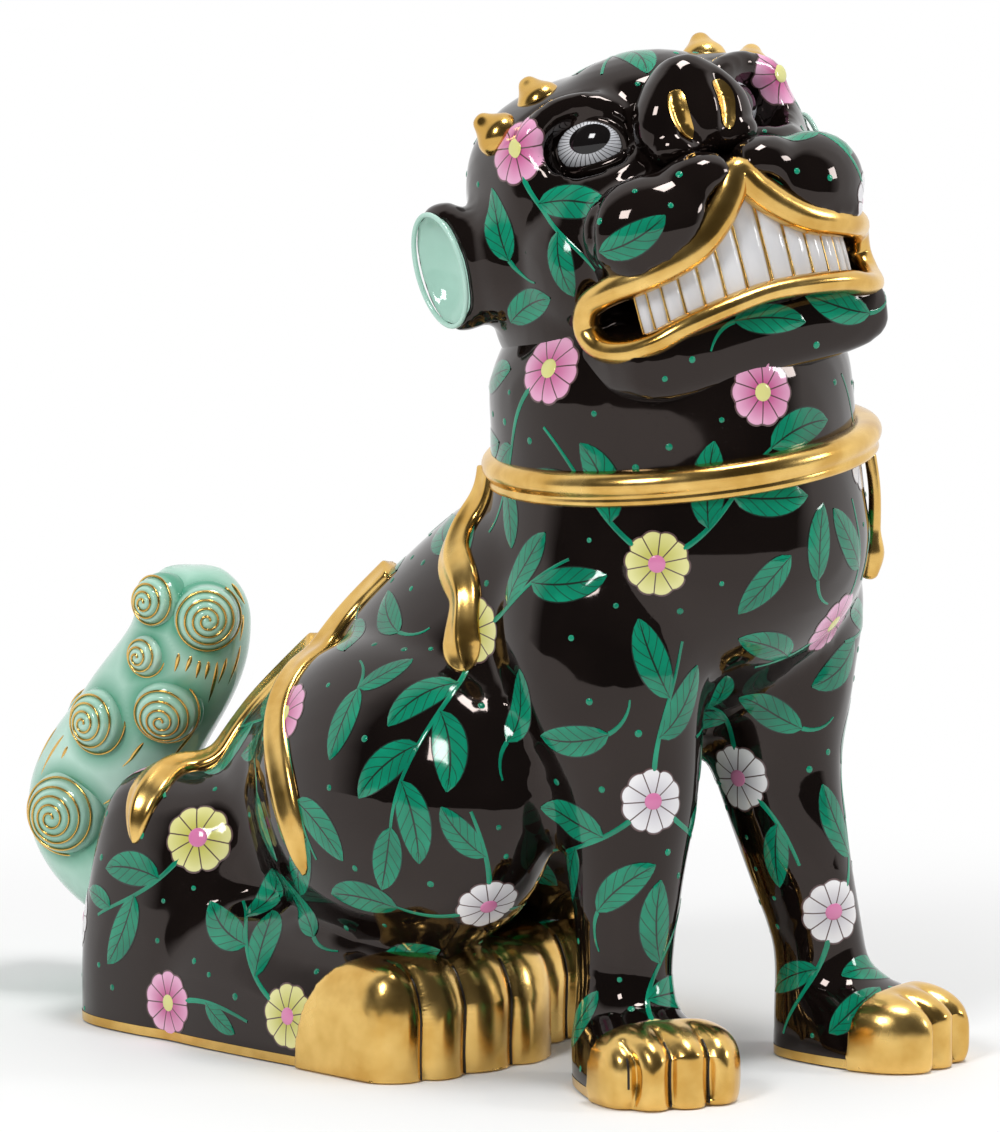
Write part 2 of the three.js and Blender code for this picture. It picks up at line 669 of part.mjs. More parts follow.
// Teeth: one curved row, bowed out tooth by tooth, that stands on the core of the mouth
const CENTRE_TOOTH = 11;
const SIDE_TEETH = [9.6, 9, 8, 7, 6, 5]; // widths, from the middle outwards
const TOOTH_BOW = 1.3;
const TOOTH_INSET = 5.5;
const ARCH_STEPS = 40;
const BACK_STEPS = 6;
function teeth() {
  const half = MUZZLE.half - TOOTH_INSET;
  const arch = [];
  for (let i = 0; i <= ARCH_STEPS; i++) {
    const x = -half * Math.cos((i / ARCH_STEPS) * Math.PI);
    arch.push(new THREE.Vector2(x, -muzzleY(x, TOOTH_INSET)));
  }
  const curve = new THREE.SplineCurve(arch);
  const length = curve.getLength();
  const leftEdges = [CENTRE_TOOTH / 2];
  for (const wide of SIDE_TEETH) leftEdges.push(leftEdges.at(-1) + wide);
  const edges = [...leftEdges.map((edge) => -edge).reverse(), ...leftEdges];
  const front = [];
  for (let i = 0; i + 1 < edges.length; i++) {
    for (let step = 0; step < 3; step++) {
      const across = step / 3;
      const u = 0.5 + lerp(edges[i], edges[i + 1], across) / length;
      const tangent = curve.getTangentAt(u);
      const bow = TOOTH_BOW * (1 - (2 * across - 1) ** 2);
      front.push(curve.getPointAt(u).add(new THREE.Vector2(-tangent.y * bow, tangent.x * bow)));
    }
  }
  const back = [];
  const inset = MOUTH_DEEP - LUTE_GAP;
  for (let i = 0; i <= BACK_STEPS; i++) {
    const x = (MUZZLE.half - inset - 2) * Math.cos((i / BACK_STEPS) * Math.PI);
    back.push(new THREE.Vector2(x, -muzzleY(x, inset)));
  }
  const plan = new THREE.Shape([...front, ...back]);
  const band = new THREE.ExtrudeGeometry(plan, { depth: 90, bevelEnabled: false });
  return solid(band.rotateX(Math.PI).translate(0, 0, 35)).intersect(mouth());
}
place("teeth", cut(teeth(), lipRoom, neckRoom), toothEnamel(), head);

// Nose: a broad shield with two hollow nostrils
const nose = loft(
  [
    [0, -46.5, 26.5, 13, 9],
    [0, -47, 30, 20.5, 11.5],
    [0, -47.5, 36, 24.5, 13],
    [0, -47.5, 43, 24, 13.2],
    [0, -47, 50, 20.5, 12.5],
    [0, -46.5, 56, 15.5, 11],
    [0, -46, 61, 9.5, 8.5],
    [0, -45.5, 64, 4.5, 5],
  ],
  { sides: 10, rings: 5, square: 2.5, domes: [0.06, 0.06] },
);
const nostril = ball([9.4, -62, 43.5], [3, 4.5, 8.5], { facets: 8 });
place("nose", cut(nose, bothSides(nostril), skullRoom, lipRoom), blackGlaze(), head);

// Eyes, ears and the four gilt horns on the crown, each made for the left
const eye = ball(EYE_PLACE, [16.5, 14.5, 12.5], { lean: EYE_LEAN, facets: 10 });
const EAR_PLACE = [78, 24, 8];
const EAR_LEAN = -37; // degrees: the cup opens outwards and forwards
function ear() {
  const hollowAt = (away) => [
    EAR_PLACE[0] + away * Math.cos(degToRad(EAR_LEAN)),
    EAR_PLACE[1] + away * Math.sin(degToRad(EAR_LEAN)),
    EAR_PLACE[2],
  ];
  const shell = ball(EAR_PLACE, [13, 18, 26], { lean: EAR_LEAN, facets: 8 });
  const hollow = ball(hollowAt(8), [13, 15, 22], { lean: EAR_LEAN, facets: 8 });
  const root = ball([68, 22, 4], [10, 10, 17], { facets: 8 });
  return cut(join(shell, root), hollow);
}
const HORN_PROFILE = [
  [0, -7],
  [9, -7],
  [9, 0.5],
  [6.4, 3.4],
  [4.2, 6],
  [2.8, 8],
  [0, 9.2],
];
const HORN_SWEPT = 18; // degrees that a horn leans back
function horn(x, y, z, tilt) {
  const cone = turned(HORN_PROFILE, 9).rotateX(-degToRad(HORN_SWEPT)).rotateY(degToRad(tilt));
  return solid(cone.translate(x, y, z));
}
const PAIRS = {
  eye: [eye, eyeEnamel],
  ear: [ear(), blackGlaze],
  inner_horn: [horn(37, 1, 62.5, 14), gilding],
  outer_horn: [horn(57, 3, 54, 34), gilding],
};
for (const [name, [made, material]] of Object.entries(PAIRS)) {
  const fitted = cut(made, skullRoom);
  place(`left_${name}`, fitted, material(), head);
  place(`right_${name}`, mirrored(fitted), material(), head);
}

// The figure is set down with the middle of its own box over the origin.
const root = new THREE.Group();
root.add(figure);
const box = new THREE.Box3().setFromObject(figure, true);
const middle = box.getCenter(new THREE.Vector3());
figure.position.set(-middle.x, -middle.y, -box.min.z);

export default root;
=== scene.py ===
"""A glazed and gilded porcelain guardian lion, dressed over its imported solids."""
import math

import bmesh
import bpy
import numpy as np
from mathutils import Matrix, Vector
from mathutils.bvhtree import BVHTree


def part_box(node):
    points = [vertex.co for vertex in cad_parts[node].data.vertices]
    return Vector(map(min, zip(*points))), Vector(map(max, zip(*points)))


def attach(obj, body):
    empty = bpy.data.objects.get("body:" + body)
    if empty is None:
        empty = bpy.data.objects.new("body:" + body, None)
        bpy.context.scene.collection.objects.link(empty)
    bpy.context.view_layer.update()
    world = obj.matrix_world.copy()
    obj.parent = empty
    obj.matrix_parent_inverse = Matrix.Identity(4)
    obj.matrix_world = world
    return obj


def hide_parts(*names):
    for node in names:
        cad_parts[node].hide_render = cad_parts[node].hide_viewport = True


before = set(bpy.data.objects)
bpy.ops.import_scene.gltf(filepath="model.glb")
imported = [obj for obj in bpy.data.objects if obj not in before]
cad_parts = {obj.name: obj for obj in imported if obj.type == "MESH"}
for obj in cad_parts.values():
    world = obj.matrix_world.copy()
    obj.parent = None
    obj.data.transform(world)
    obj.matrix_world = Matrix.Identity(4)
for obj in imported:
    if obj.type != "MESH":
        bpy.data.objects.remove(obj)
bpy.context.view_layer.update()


def turn(degrees, axis):
    return Matrix.Rotation(math.radians(degrees), 4, axis)


# The lion's own frame: millimetres, chest line at x 0, table at z 0. The collar ties it to the solids.
MM = 0.001
COLLAR_PLACE, COLLAR_TILT = Vector((0, -33, 238)), -8
HEAD_PLACE, HEAD_TURN, HEAD_NOD, HEAD_TILT = (-6, -28, 322), -19, -8, -12.5
HIP_X = -34
LEFT_BACK = 24
FLOOR_Z = 0.0
collar_low, collar_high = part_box("collar")
collar_middle = Matrix.Translation((collar_low + collar_high) / 2)
LION = collar_middle @ Matrix.Scale(MM, 4) @ Matrix.Translation(-COLLAR_PLACE)
HEAD = Matrix.Translation(HEAD_PLACE) @ turn(HEAD_TURN, "Z") @ turn(HEAD_NOD, "X") @ turn(HEAD_TILT, "Y")


# Shaping clay: every form is made in millimetres
def ball(clay, centre, halves, lean=0, sides=40):
    made = bmesh.ops.create_uvsphere(clay, u_segments=sides, v_segments=sides // 2, radius=1)
    shape = Matrix.Translation(centre) @ turn(lean, "Z") @ Matrix.Diagonal((*halves, 1))
    bmesh.ops.transform(clay, matrix=shape, verts=made["verts"])
    return made["verts"]


def flow(points, closed=False):
    """A smooth path through points, as a rule from a share of it to a place."""
    points = [Vector(p) for p in points]
    count = len(points)

    def at(share):
        place = (count if closed else count - 1) * share
        index = int(math.floor(place))
        w = place - index
        if not closed and index >= count - 1:
            index, w = count - 2, 1.0
        if closed:
            p0, p1, p2, p3 = (points[(index + i) % count] for i in (-1, 0, 1, 2))
        else:
            p1, p2 = points[index], points[index + 1]
            p0 = points[index - 1] if index > 0 else 2 * p1 - p2
            p3 = points[index + 2] if index + 2 < count else 2 * p2 - p1
        d0, d1, d2 = (max((b - a).length, 1e-4) ** 0.5 for a, b in ((p0, p1), (p1, p2), (p2, p3)))
        m1 = ((p1 - p0) / d0 - (p2 - p0) / (d0 + d1) + (p2 - p1) / d1) * d1
        m2 = ((p2 - p1) / d1 - (p3 - p1) / (d1 + d2) + (p3 - p2) / d2) * d1
        w2, w3 = w**2, w**3
        return p1 * (2 * w3 - 3 * w2 + 1) + m1 * (w3 - 2 * w2 + w) + p2 * (3 * w2 - 2 * w3) + m2 * (w3 - w2)

    return at


def standing(place, up):
    """A frame at a place, with its z along the way up."""
    stand = up.to_track_quat("Z", "Y").to_matrix().to_4x4()
    stand.translation = place
    return stand


def veer(way, degrees, up):
    return Matrix.Rotation(math.radians(degrees), 3, up) @ way


def heading_at(path, share, closed=False, step=0.002):
    if closed:
        return (path((share + step) % 1) - path((share - step) % 1)).normalized()
    return (path(min(1, share + step)) - path(max(0, share - step))).normalized()


def band_share(value, low, high):
    """1 below low, 0 above high and even between."""
    return min(1.0, max(0.0, (high - value) / (high - low)))


def rim_of(verts):
    ring = set(verts)
    return list({e for v in verts for e in v.link_edges if e.other_vert(v) in ring})


def sweep(clay, outline, stops, closed=False):
    """A ring of the outline's points, extruded from stop to stop; each stop places the flat outline."""
    ring = bmesh.ops.create_circle(clay, segments=len(outline), radius=1)["verts"]
    for v, (x, y) in zip(ring, outline):
        v.co = (x, y, 0)
    bmesh.ops.transform(clay, matrix=stops[0], verts=ring)
    first = rim_of(ring)
    every = list(ring)
    for here, onward in zip(stops, stops[1:]):
        made = bmesh.ops.extrude_edge_only(clay, edges=rim_of(ring))["geom"]
        ring = [g for g in made if isinstance(g, bmesh.types.BMVert)]
        bmesh.ops.transform(clay, matrix=onward @ here.inverted(), verts=ring)
        every += ring
    if closed:
        bmesh.ops.bridge_loops(clay, edges=rim_of(ring) + first)
    else:
        bmesh.ops.contextual_create(clay, geom=first)
        bmesh.ops.contextual_create(clay, geom=rim_of(ring))
    return every


def oval(sides, square=2.0):
    angles = [i / sides * 2 * math.pi for i in range(sides)]
    return [
        tuple(math.copysign(abs(c) ** (2 / square), c) for c in (math.cos(a), math.sin(a)))
        for a in angles
    ]


def stance(centre, along, wide, half_wide, half_deep):
    """Where a flat outline stands on a path: its x across, its y through."""
    wide = Vector(wide)
    width = (wide - along * along.dot(wide)).normalized()
    depth = along.cross(width)
    shape = Matrix((width * half_wide, depth * half_deep, along)).transposed().to_4x4()
    shape.translation = centre
    return shape


DOME_RINGS = 8


def loft(
    clay, sections, sides=40, rings=36, across=(1, 0, 0), square=2.0, domes=(0, 0), blunt=2.0, closed=False
):
    """A skin drawn through oval sections [x, y, z, half width, half depth], with domed ends."""
    middles = flow([s[:3] for s in sections], closed)
    girths = flow([(s[3], s[4], 0) for s in sections], closed)
    stops = []
    for i in range(1, DOME_RINGS + 1 if domes[0] else 1):
        t = 1 - i / (DOME_RINGS + 1)
        stops.append((domes[0] * (1 - t), (1 - t**blunt) ** (1 / blunt)))
    for i in range(rings + (0 if closed else 1)):
        stops.append((domes[0] + i / rings * (1 - domes[0] - domes[1]), 1.0))
    for i in range(1, DOME_RINGS + 1 if domes[1] else 1):
        t = i / (DOME_RINGS + 1)
        stops.append((1 - domes[1] * (1 - t), (1 - t**blunt) ** (1 / blunt)))
    places = []
    for share, size in stops:
        centre = middles(share)
        wide = across(centre) if callable(across) else across
        half = girths(share) * size
        places.append(stance(centre, heading_at(middles, share, closed), wide, half.x, half.y))
    return sweep(clay, oval(sides, square), places, closed)


def spin_round(clay, profile, steps, closed=False):
    """A profile of (radius, height) spun round the upright axis."""
    verts = [clay.verts.new((radius, 0, z)) for radius, z in profile]
    ahead = verts[1:] + verts[:1] if closed else verts[1:]
    edges = [clay.edges.new(pair) for pair in zip(verts, ahead)]
    round_z = dict(cent=(0, 0, 0), axis=(0, 0, 1), angle=2 * math.pi)
    bmesh.ops.spin(clay, geom=verts + edges, steps=steps, use_merge=True, **round_z)


def turned(profile, steps, closed=False):
    """New clay with the turned form of a profile."""
    clay = bmesh.new()
    spin_round(clay, profile, steps, closed)
    bmesh.ops.remove_doubles(clay, verts=clay.verts, dist=0.01)
    return clay


def sliced(clay, place, way, **cleared):
    """Cut the clay along a plane and clear one side of it; what the cut made is returned."""
    everything = clay.verts[:] + clay.edges[:] + clay.faces[:]
    return bmesh.ops.bisect_plane(clay, geom=everything, plane_co=place, plane_no=way, **cleared)["geom_cut"]


def as_object(name, clay):
    mesh = bpy.data.meshes.new(name)
    clay.to_mesh(mesh)
    clay.free()
    made = bpy.data.objects.new(name, mesh)
    bpy.context.scene.collection.objects.link(made)
    return made


def piece(name, clay):
    """The clay as an object, with its normals outward."""
    bmesh.ops.recalc_face_normals(clay, faces=clay.faces)
    return as_object(name, clay)


def settle(made):
    """Modifiers become the mesh itself."""
    graph = bpy.context.evaluated_depsgraph_get()
    mesh = bpy.data.meshes.new_from_object(made.evaluated_get(graph))
    mesh.name = made.name
    made.modifiers.clear()
    made.data = mesh


def subdivide(made):
    finer = made.modifiers.new("Finer", "SUBSURF")
    finer.levels = finer.render_levels = 1


def finer_piece(name, clay):
    """A piece with one step of subdivision in its mesh."""
    made = piece(name, clay)
    subdivide(made)
    settle(made)
    return made


def fused(name, clay, voxel, soften, fine=True, cutters=()):
    """Overlapping forms run together into one skin, as slip and glaze round off every joint."""
    made = piece(name, clay)

    def run_together():
        remesh = made.modifiers.new("Run together", "REMESH")
        remesh.mode, remesh.voxel_size, remesh.use_smooth_shade = "VOXEL", voxel, True

    run_together()
    for cutter in cutters:
        hollow = made.modifiers.new("Hollow", "BOOLEAN")
        hollow.operation, hollow.object, hollow.solver = "DIFFERENCE", cutter, "EXACT"
    if cutters:
        run_together()
    smooth = made.modifiers.new("Glaze softens", "SMOOTH")
    smooth.factor, smooth.iterations = 0.5, soften
    if fine:
        subdivide(made)
    settle(made)
    for cutter in cutters:
        bpy.data.objects.remove(cutter)
    keep_outer_skin(made)
    return made


def put_in_order(made, clay, verts):
    """The clay of these vertices becomes the mesh, in a fixed order: draws over it are the same each run."""
    kept = sorted(verts, key=lambda v: v.co[:])
    number = {v: i for i, v in enumerate(kept)}
    faces = []
    for face in clay.faces:
        if face.verts[0] in number:
            corners = [number[v] for v in face.verts]
            first = corners.index(min(corners))
            faces.append(corners[first:] + corners[:first])
    mesh = bpy.data.meshes.new(made.name)
    mesh.from_pydata([v.co[:] for v in kept], [], sorted(faces))
    clay.free()
    made.data = mesh


def keep_outer_skin(made):
    """Running together can leave a bubble inside; only the largest skin is kept."""
    clay = bmesh.new()
    clay.from_mesh(made.data)
    left = set(clay.verts)
    islands = []
    while left:
        grown, edge = set(), {left.pop()}
        while edge:
            grown |= edge
            edge = {e.other_vert(v) for v in edge for e in v.link_edges} - grown
        left -= grown
        islands.append(grown)
    put_in_order(made, clay, max(islands, key=len))


def stand_flat(made):
    """Grind the foot flat on the table."""
    clay = bmesh.new()
    clay.from_mesh(made.data)
    cut = sliced(clay, (0, 0, FLOOR_Z), (0, 0, 1), clear_inner=True)
    bmesh.ops.edgenet_fill(clay, edges=[g for g in cut if isinstance(g, bmesh.types.BMEdge)])
    clay.to_mesh(made.data)
    clay.free()


def carve(made, lines, both=False, steps=40):
    """Press grooves into a skin (depth above 0) or raise ridges: each line is (points, depth, half width)."""
    count = len(made.data.vertices)
    places, normals = np.empty(count * 3), np.empty(count * 3)
    made.data.vertices.foreach_get("co", places)
    made.data.vertices.foreach_get("normal", normals)
    places, normals = places.reshape(-1, 3), normals.reshape(-1, 3)
    moved = np.zeros(count)
    skin = Skin(made)
    for points, depth, wide in lines:
        for side in (1, -1) if both else (1,):
            path = flow([(p[0] * side, p[1], p[2]) for p in points])
            spots = np.array([skin.near(path(i / steps))[0] for i in range(steps + 1)])
            fade = np.sin(np.linspace(0.1, math.pi - 0.1, steps + 1)) ** 0.4
            low, high = spots.min(0) - 3 * wide, spots.max(0) + 3 * wide
            close = np.nonzero(((places > low) & (places < high)).all(1))[0]
            if not len(close):
                continue
            away = ((places[close, None, :] - spots[None]) ** 2).sum(2)
            near = (fade[None] * np.exp(-away / wide**2)).max(1)
            moved[close] += depth * near
    places -= normals * moved[:, None]
    made.data.vertices.foreach_set("co", places.ravel())
    made.data.update()


class Skin:
    """A glazed surface that paint and gilding are laid on."""

    def __init__(self, *pieces):
        places, faces = [], []
        for made in pieces:
            start = len(places)
            places += [v.co.copy() for v in made.data.vertices]
            faces += [[start + i for i in f.vertices] for f in made.data.polygons]
        self.tree = BVHTree.FromPolygons(places, faces)

    def near(self, place):
        spot, normal, _, _ = self.tree.find_nearest(place)
        return spot, normal

    def over(self, place, lift):
        """The nearest place that stands off the skin."""
        spot, normal = self.near(place)
        return spot + normal * lift

    def walk(self, spot, normal, ahead, length, step=2.0):
        """Go straight ahead over the skin: the new spot, its normal and the way ahead there."""
        count = max(1, math.ceil(abs(length) / step))
        for _ in range(count):
            spot, normal = self.near(spot + ahead * (length / count))
            ahead = (ahead - normal * ahead.dot(normal)).normalized()
        return spot, normal, ahead

    def hidden(self, spot, normal, reach=16):
        return self.tree.ray_cast(spot + normal * 0.5, normal, reach)[0] is not None


def finished(made, material, slot, *nodes):
    """The piece goes to its place in metres, takes its finish and rides on the figure."""
    made.data.transform(LION)
    made.data.materials.clear()
    made.data.materials.append(material)
    for polygon in made.data.polygons:
        polygon.use_smooth = True
    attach(made, "root")
    if nodes:
        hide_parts(*nodes)
    return made


# Finishes
def wire(tree, kind, settings=None, **inputs):
    """Add a node: settings are its properties, inputs are values or the sockets that feed it."""
    made = tree.nodes.new(kind)
    for name, value in (settings or {}).items():
        setattr(made, name, value)
    for name, value in inputs.items():
        key = int(name[1:]) if name[0] == "i" and name[1:].isdigit() else name.replace("_", " ")
        if isinstance(value, bpy.types.NodeSocket):
            tree.links.new(value, made.inputs[key])
        else:
            made.inputs[key].default_value = value
    return made


def ramp(tree, feed, *stops):
    made = wire(tree, "ShaderNodeValToRGB", Fac=feed)
    while len(made.color_ramp.elements) < len(stops):
        made.color_ramp.elements.new(0.5)
    for element, (place, colour) in zip(made.color_ramp.elements, stops):
        element.position = place
        element.color = (*colour, 1)
    return made.outputs["Color"]


def reckon(tree, operation, *values):
    inputs = {f"i{i}": value for i, value in enumerate(values)}
    return wire(tree, "ShaderNodeMath", {"operation": operation}, **inputs).outputs[0]


def from_middle(tree, x, y):
    """How far a place is from the middle of a flat pattern."""
    squares = [reckon(tree, "MULTIPLY", value, value) for value in (x, y)]
    return reckon(tree, "SQRT", reckon(tree, "ADD", *squares))


def band(tree, value, low, high, at_low=1.0, at_high=0.0):
    """From one level to another as a value goes from low to high."""
    levels = dict(From_Min=low, From_Max=high, To_Min=at_low, To_Max=at_high)
    return wire(tree, "ShaderNodeMapRange", Value=value, **levels).outputs["Result"]


def mixed(tree, share, first, second):
    return wire(tree, "ShaderNodeMix", {"data_type": "RGBA"}, i0=share, i6=first, i7=second).outputs[2]


def marks_group(name):
    """A group that turns a motif's pattern map into drawn lines and shading."""
    tree = bpy.data.node_groups.new(name, "ShaderNodeTree")
    tree.interface.new_socket("Pattern", in_out="INPUT", socket_type="NodeSocketVector")
    for output in ("Line", "Shade"):
        tree.interface.new_socket(output, in_out="OUTPUT", socket_type="NodeSocketFloat")
    axes = wire(tree, "ShaderNodeSeparateXYZ", Vector=wire(tree, "NodeGroupInput").outputs["Pattern"])
    return tree, wire(tree, "NodeGroupOutput"), axes.outputs["X"], axes.outputs["Y"]


LEAF_VEINS = 6.0, 3.2


def leaf_marks():
    """Midrib, slanting veins and a dark edge. The map runs along the leaf in x and across it in y."""
    tree, outs, along, y = marks_group("leaf_marks")
    across = reckon(tree, "ABSOLUTE", reckon(tree, "SUBTRACT", y, 0.5))
    rise = reckon(tree, "MULTIPLY", across, LEAF_VEINS[1])
    slant = reckon(tree, "SUBTRACT", reckon(tree, "MULTIPLY", along, LEAF_VEINS[0]), rise)
    vein = band(tree, reckon(tree, "PINGPONG", slant, 0.5), 0.035, 0.07, 0.75, 0.0)
    rib = band(tree, across, 0.02, 0.035)
    edge = band(tree, across, 0.45, 0.47, 0.0, 1.0)
    tree.links.new(reckon(tree, "MAXIMUM", reckon(tree, "MAXIMUM", vein, rib), edge), outs.inputs["Line"])
    tree.links.new(band(tree, across, 0.0, 0.4, 0.45, 1.0), outs.inputs["Shade"])
    return tree


PETALS = 10


def petal_marks():
    """Lines between the petals and round the rim, and a deeper heart. The map is the flower seen flat."""
    tree, outs, x, y = marks_group("petal_marks")
    x, y = reckon(tree, "SUBTRACT", x, 0.5), reckon(tree, "SUBTRACT", y, 0.5)
    radius = reckon(tree, "MULTIPLY", from_middle(tree, x, y), 2.0)
    turns = reckon(tree, "MULTIPLY", reckon(tree, "ARCTAN2", y, x), PETALS / (2 * math.pi))
    gap = reckon(tree, "SUBTRACT", 0.5, reckon(tree, "PINGPONG", turns, 0.5))
    between = band(tree, reckon(tree, "MULTIPLY", gap, radius), 0.022, 0.04)
    rim = band(tree, radius, 0.93, 0.955, 0.0, 1.0)
    tree.links.new(reckon(tree, "MAXIMUM", between, rim), outs.inputs["Line"])
    tree.links.new(band(tree, radius, 0.28, 0.85, 0.0, 1.0), outs.inputs["Shade"])
    return tree


def kiln_group():
    """Shared by every fired finish: slow clouds in the colour, a faint ripple and fine pinholes."""
    tree = bpy.data.node_groups.new("kiln_surface", "ShaderNodeTree")
    for name, low in (("Cloud Scale", 25.0), ("Ripple Scale", 90.0), ("Pinhole Scale", 420.0)):
        tree.interface.new_socket(name, in_out="INPUT", socket_type="NodeSocketFloat").default_value = low
    for name in ("Clouds", "Relief"):
        tree.interface.new_socket(name, in_out="OUTPUT", socket_type="NodeSocketFloat")
    ins = wire(tree, "NodeGroupInput")
    outs = wire(tree, "NodeGroupOutput")
    spot = wire(tree, "ShaderNodeTexCoord").outputs["Object"]
    clouds = wire(tree, "ShaderNodeTexNoise", Vector=spot, Scale=ins.outputs["Cloud Scale"], Detail=3.0)
    ripple = wire(tree, "ShaderNodeTexNoise", Vector=spot, Scale=ins.outputs["Ripple Scale"], Detail=1.0)
    cells = wire(tree, "ShaderNodeTexVoronoi", Vector=spot, Scale=ins.outputs["Pinhole Scale"])
    rare = band(tree, clouds.outputs["Fac"], 0.52, 0.62, 0.0, 1.0)
    holes = reckon(tree, "MULTIPLY", band(tree, cells.outputs["Distance"], 0.04, 0.12), rare)
    relief = reckon(tree, "SUBTRACT", ripple.outputs["Fac"], holes)
    tree.links.new(clouds.outputs["Fac"], outs.inputs["Clouds"])
    tree.links.new(relief, outs.inputs["Relief"])
    return tree


KILN = kiln_group()
RIPPLE_HIGH = 0.0006


def finish(name, dark, light, gloss, ripple, metallic=0.0, scales=(25, 90, 420)):
    """A fired finish: colour clouds from dark to light, gloss as a roughness range, a faint ripple."""
    material = bpy.data.materials.new(name)
    material.use_nodes = True
    tree = material.node_tree
    shader = tree.nodes["Principled BSDF"]
    kiln = wire(tree, "ShaderNodeGroup", {"node_tree": KILN})
    for name_in, value in zip(("Cloud Scale", "Ripple Scale", "Pinhole Scale"), scales):
        kiln.inputs[name_in].default_value = value
    colour = ramp(tree, kiln.outputs["Clouds"], (0.35, dark), (0.68, light))
    bump = wire(tree, "ShaderNodeBump", Height=kiln.outputs["Relief"], Strength=ripple, Distance=RIPPLE_HIGH)
    tree.links.new(colour, shader.inputs["Base Color"])
    tree.links.new(band(tree, kiln.outputs["Clouds"], 0.3, 0.7, *gloss), shader.inputs["Roughness"])
    tree.links.new(bump.outputs["Normal"], shader.inputs["Normal"])
    shader.inputs["Metallic"].default_value = metallic
    return material


def colour_feed(material):
    """A finish's nodes, its colour socket and what feeds that."""
    tree = material.node_tree
    socket = tree.nodes["Principled BSDF"].inputs["Base Color"]
    return tree, socket, socket.links[0].from_socket


def painted(material, marks, deep, ink):
    """A motif's marks over an enamel: `deep` shades it and `ink` draws its lines."""
    tree, socket, base = colour_feed(material)
    pattern = wire(tree, "ShaderNodeUVMap", {"uv_map": "pattern"}).outputs["UV"]
    drawn = wire(tree, "ShaderNodeGroup", {"node_tree": marks}, Pattern=pattern)
    shaded = mixed(tree, drawn.outputs["Shade"], (*deep, 1), base)
    tree.links.new(mixed(tree, drawn.outputs["Line"], shaded, (*ink, 1)), socket)
    return material


def pooling_and_shade(material, deep):
    """A clear glaze made deeper in colour where the piece's own attribute is high: partly the real glaze
    pooling in hollows, partly painted shade in grooves and where parts meet.
    """
    tree, socket, base = colour_feed(material)
    pool_and_shade = wire(tree, "ShaderNodeAttribute", {"attribute_name": "pool_and_shade"}).outputs["Fac"]
    tree.links.new(mixed(tree, pool_and_shade, base, (*deep, 1)), socket)
    return material


black_glaze = finish("black_glaze", (0.0035, 0.0022, 0.0019), (0.0065, 0.0042, 0.0036), (0.03, 0.06), 0.05)
black_glaze.node_tree.nodes["Principled BSDF"].inputs["Specular Tint"].default_value = (1.0, 0.84, 0.78, 1)
gilding = finish(
    "gilding", (0.63, 0.37, 0.09), (0.88, 0.59, 0.195), (0.16, 0.28), 0.10,
    metallic=1.0, scales=(60, 160, 700),
)
# The mint glaze's deeper green is partly real glaze pooling and partly painted shade: in the curls' grooves,
# round their feet and on the plume next to them.
mint_glaze = pooling_and_shade(
    finish("mint_glaze", (0.33, 0.58, 0.46), (0.52, 0.75, 0.65), (0.05, 0.10), 0.08), (0.08, 0.33, 0.21)
)
tooth_glaze = finish("tooth_glaze", (0.62, 0.63, 0.66), (0.76, 0.77, 0.79), (0.05, 0.10), 0.06)
ear_glaze = finish("ear_glaze", (0.36, 0.58, 0.49), (0.44, 0.66, 0.57), (0.05, 0.10), 0.05)
line_black = finish("line_black", (0.006, 0.004, 0.004), (0.014, 0.009, 0.008), (0.2, 0.35), 0.05)

# Body: chest column, barrel, haunches and forelegs
NECK = 71
COLLAR_Z = 240
CHEST_Y = -31
HAUNCH_OUT = 91
LEFT_PAW = Matrix.Translation((45, -68, 0)) @ turn(14, "Z")
RIGHT_PAW = Matrix.Translation((-55, -57, 0)) @ turn(-19, "Z")
LEFT_ARM = [
    (28, -24, 216, 20, 28), (41, -32, 178, 42, 46), (35, -46, 144, 33, 37), (33, -54, 112, 24, 26),
    (36, -62, 78, 20, 22), (44, -66, 44, 17.5, 19), (45, -68, 14, 20, 20), (45, -68, -10, 20, 20),
]
RIGHT_ARM = [
    (-28, -24, 216, 20, 28), (-41, -32, 178, 42, 46), (-47, -40, 144, 37, 41), (-48, -50, 112, 28, 30),
    (-52, -55, 78, 21, 23), (-54, -56, 44, 18, 19.5), (-55, -57, 14, 20, 20), (-55, -57, -10, 20, 20),
]
clay = bmesh.new()
loft(
    clay,
    [
        (-6, CHEST_Y + 3, COLLAR_Z + 58, NECK - 15, NECK - 15),
        (-4, CHEST_Y + 1, COLLAR_Z + 28, NECK, NECK - 1),
        (-2, CHEST_Y, COLLAR_Z, NECK, NECK),
        (0, CHEST_Y + 1, COLLAR_Z - 44, NECK + 5, NECK + 5),
        (0, CHEST_Y + 6, COLLAR_Z - 108, NECK - 4, NECK - 10),
    ],
    sides=56, domes=(0, 0.3),
)
loft(
    clay,
    [
        (0, CHEST_Y + 4, COLLAR_Z - 46, NECK + 1, NECK - 8),
        (HIP_X * 0.25, CHEST_Y + 52, COLLAR_Z - 80, NECK + 3, NECK - 5),
        (HIP_X * 0.6, CHEST_Y + 96, COLLAR_Z - 118, NECK + 1, NECK - 6),
        (HIP_X, CHEST_Y + 142, COLLAR_Z - 158, NECK - 1, NECK - 9),
        (HIP_X, CHEST_Y + 214, COLLAR_Z - 214, NECK - 9, NECK - 22),
    ],
    sides=56, domes=(0.1, 0.28),
)
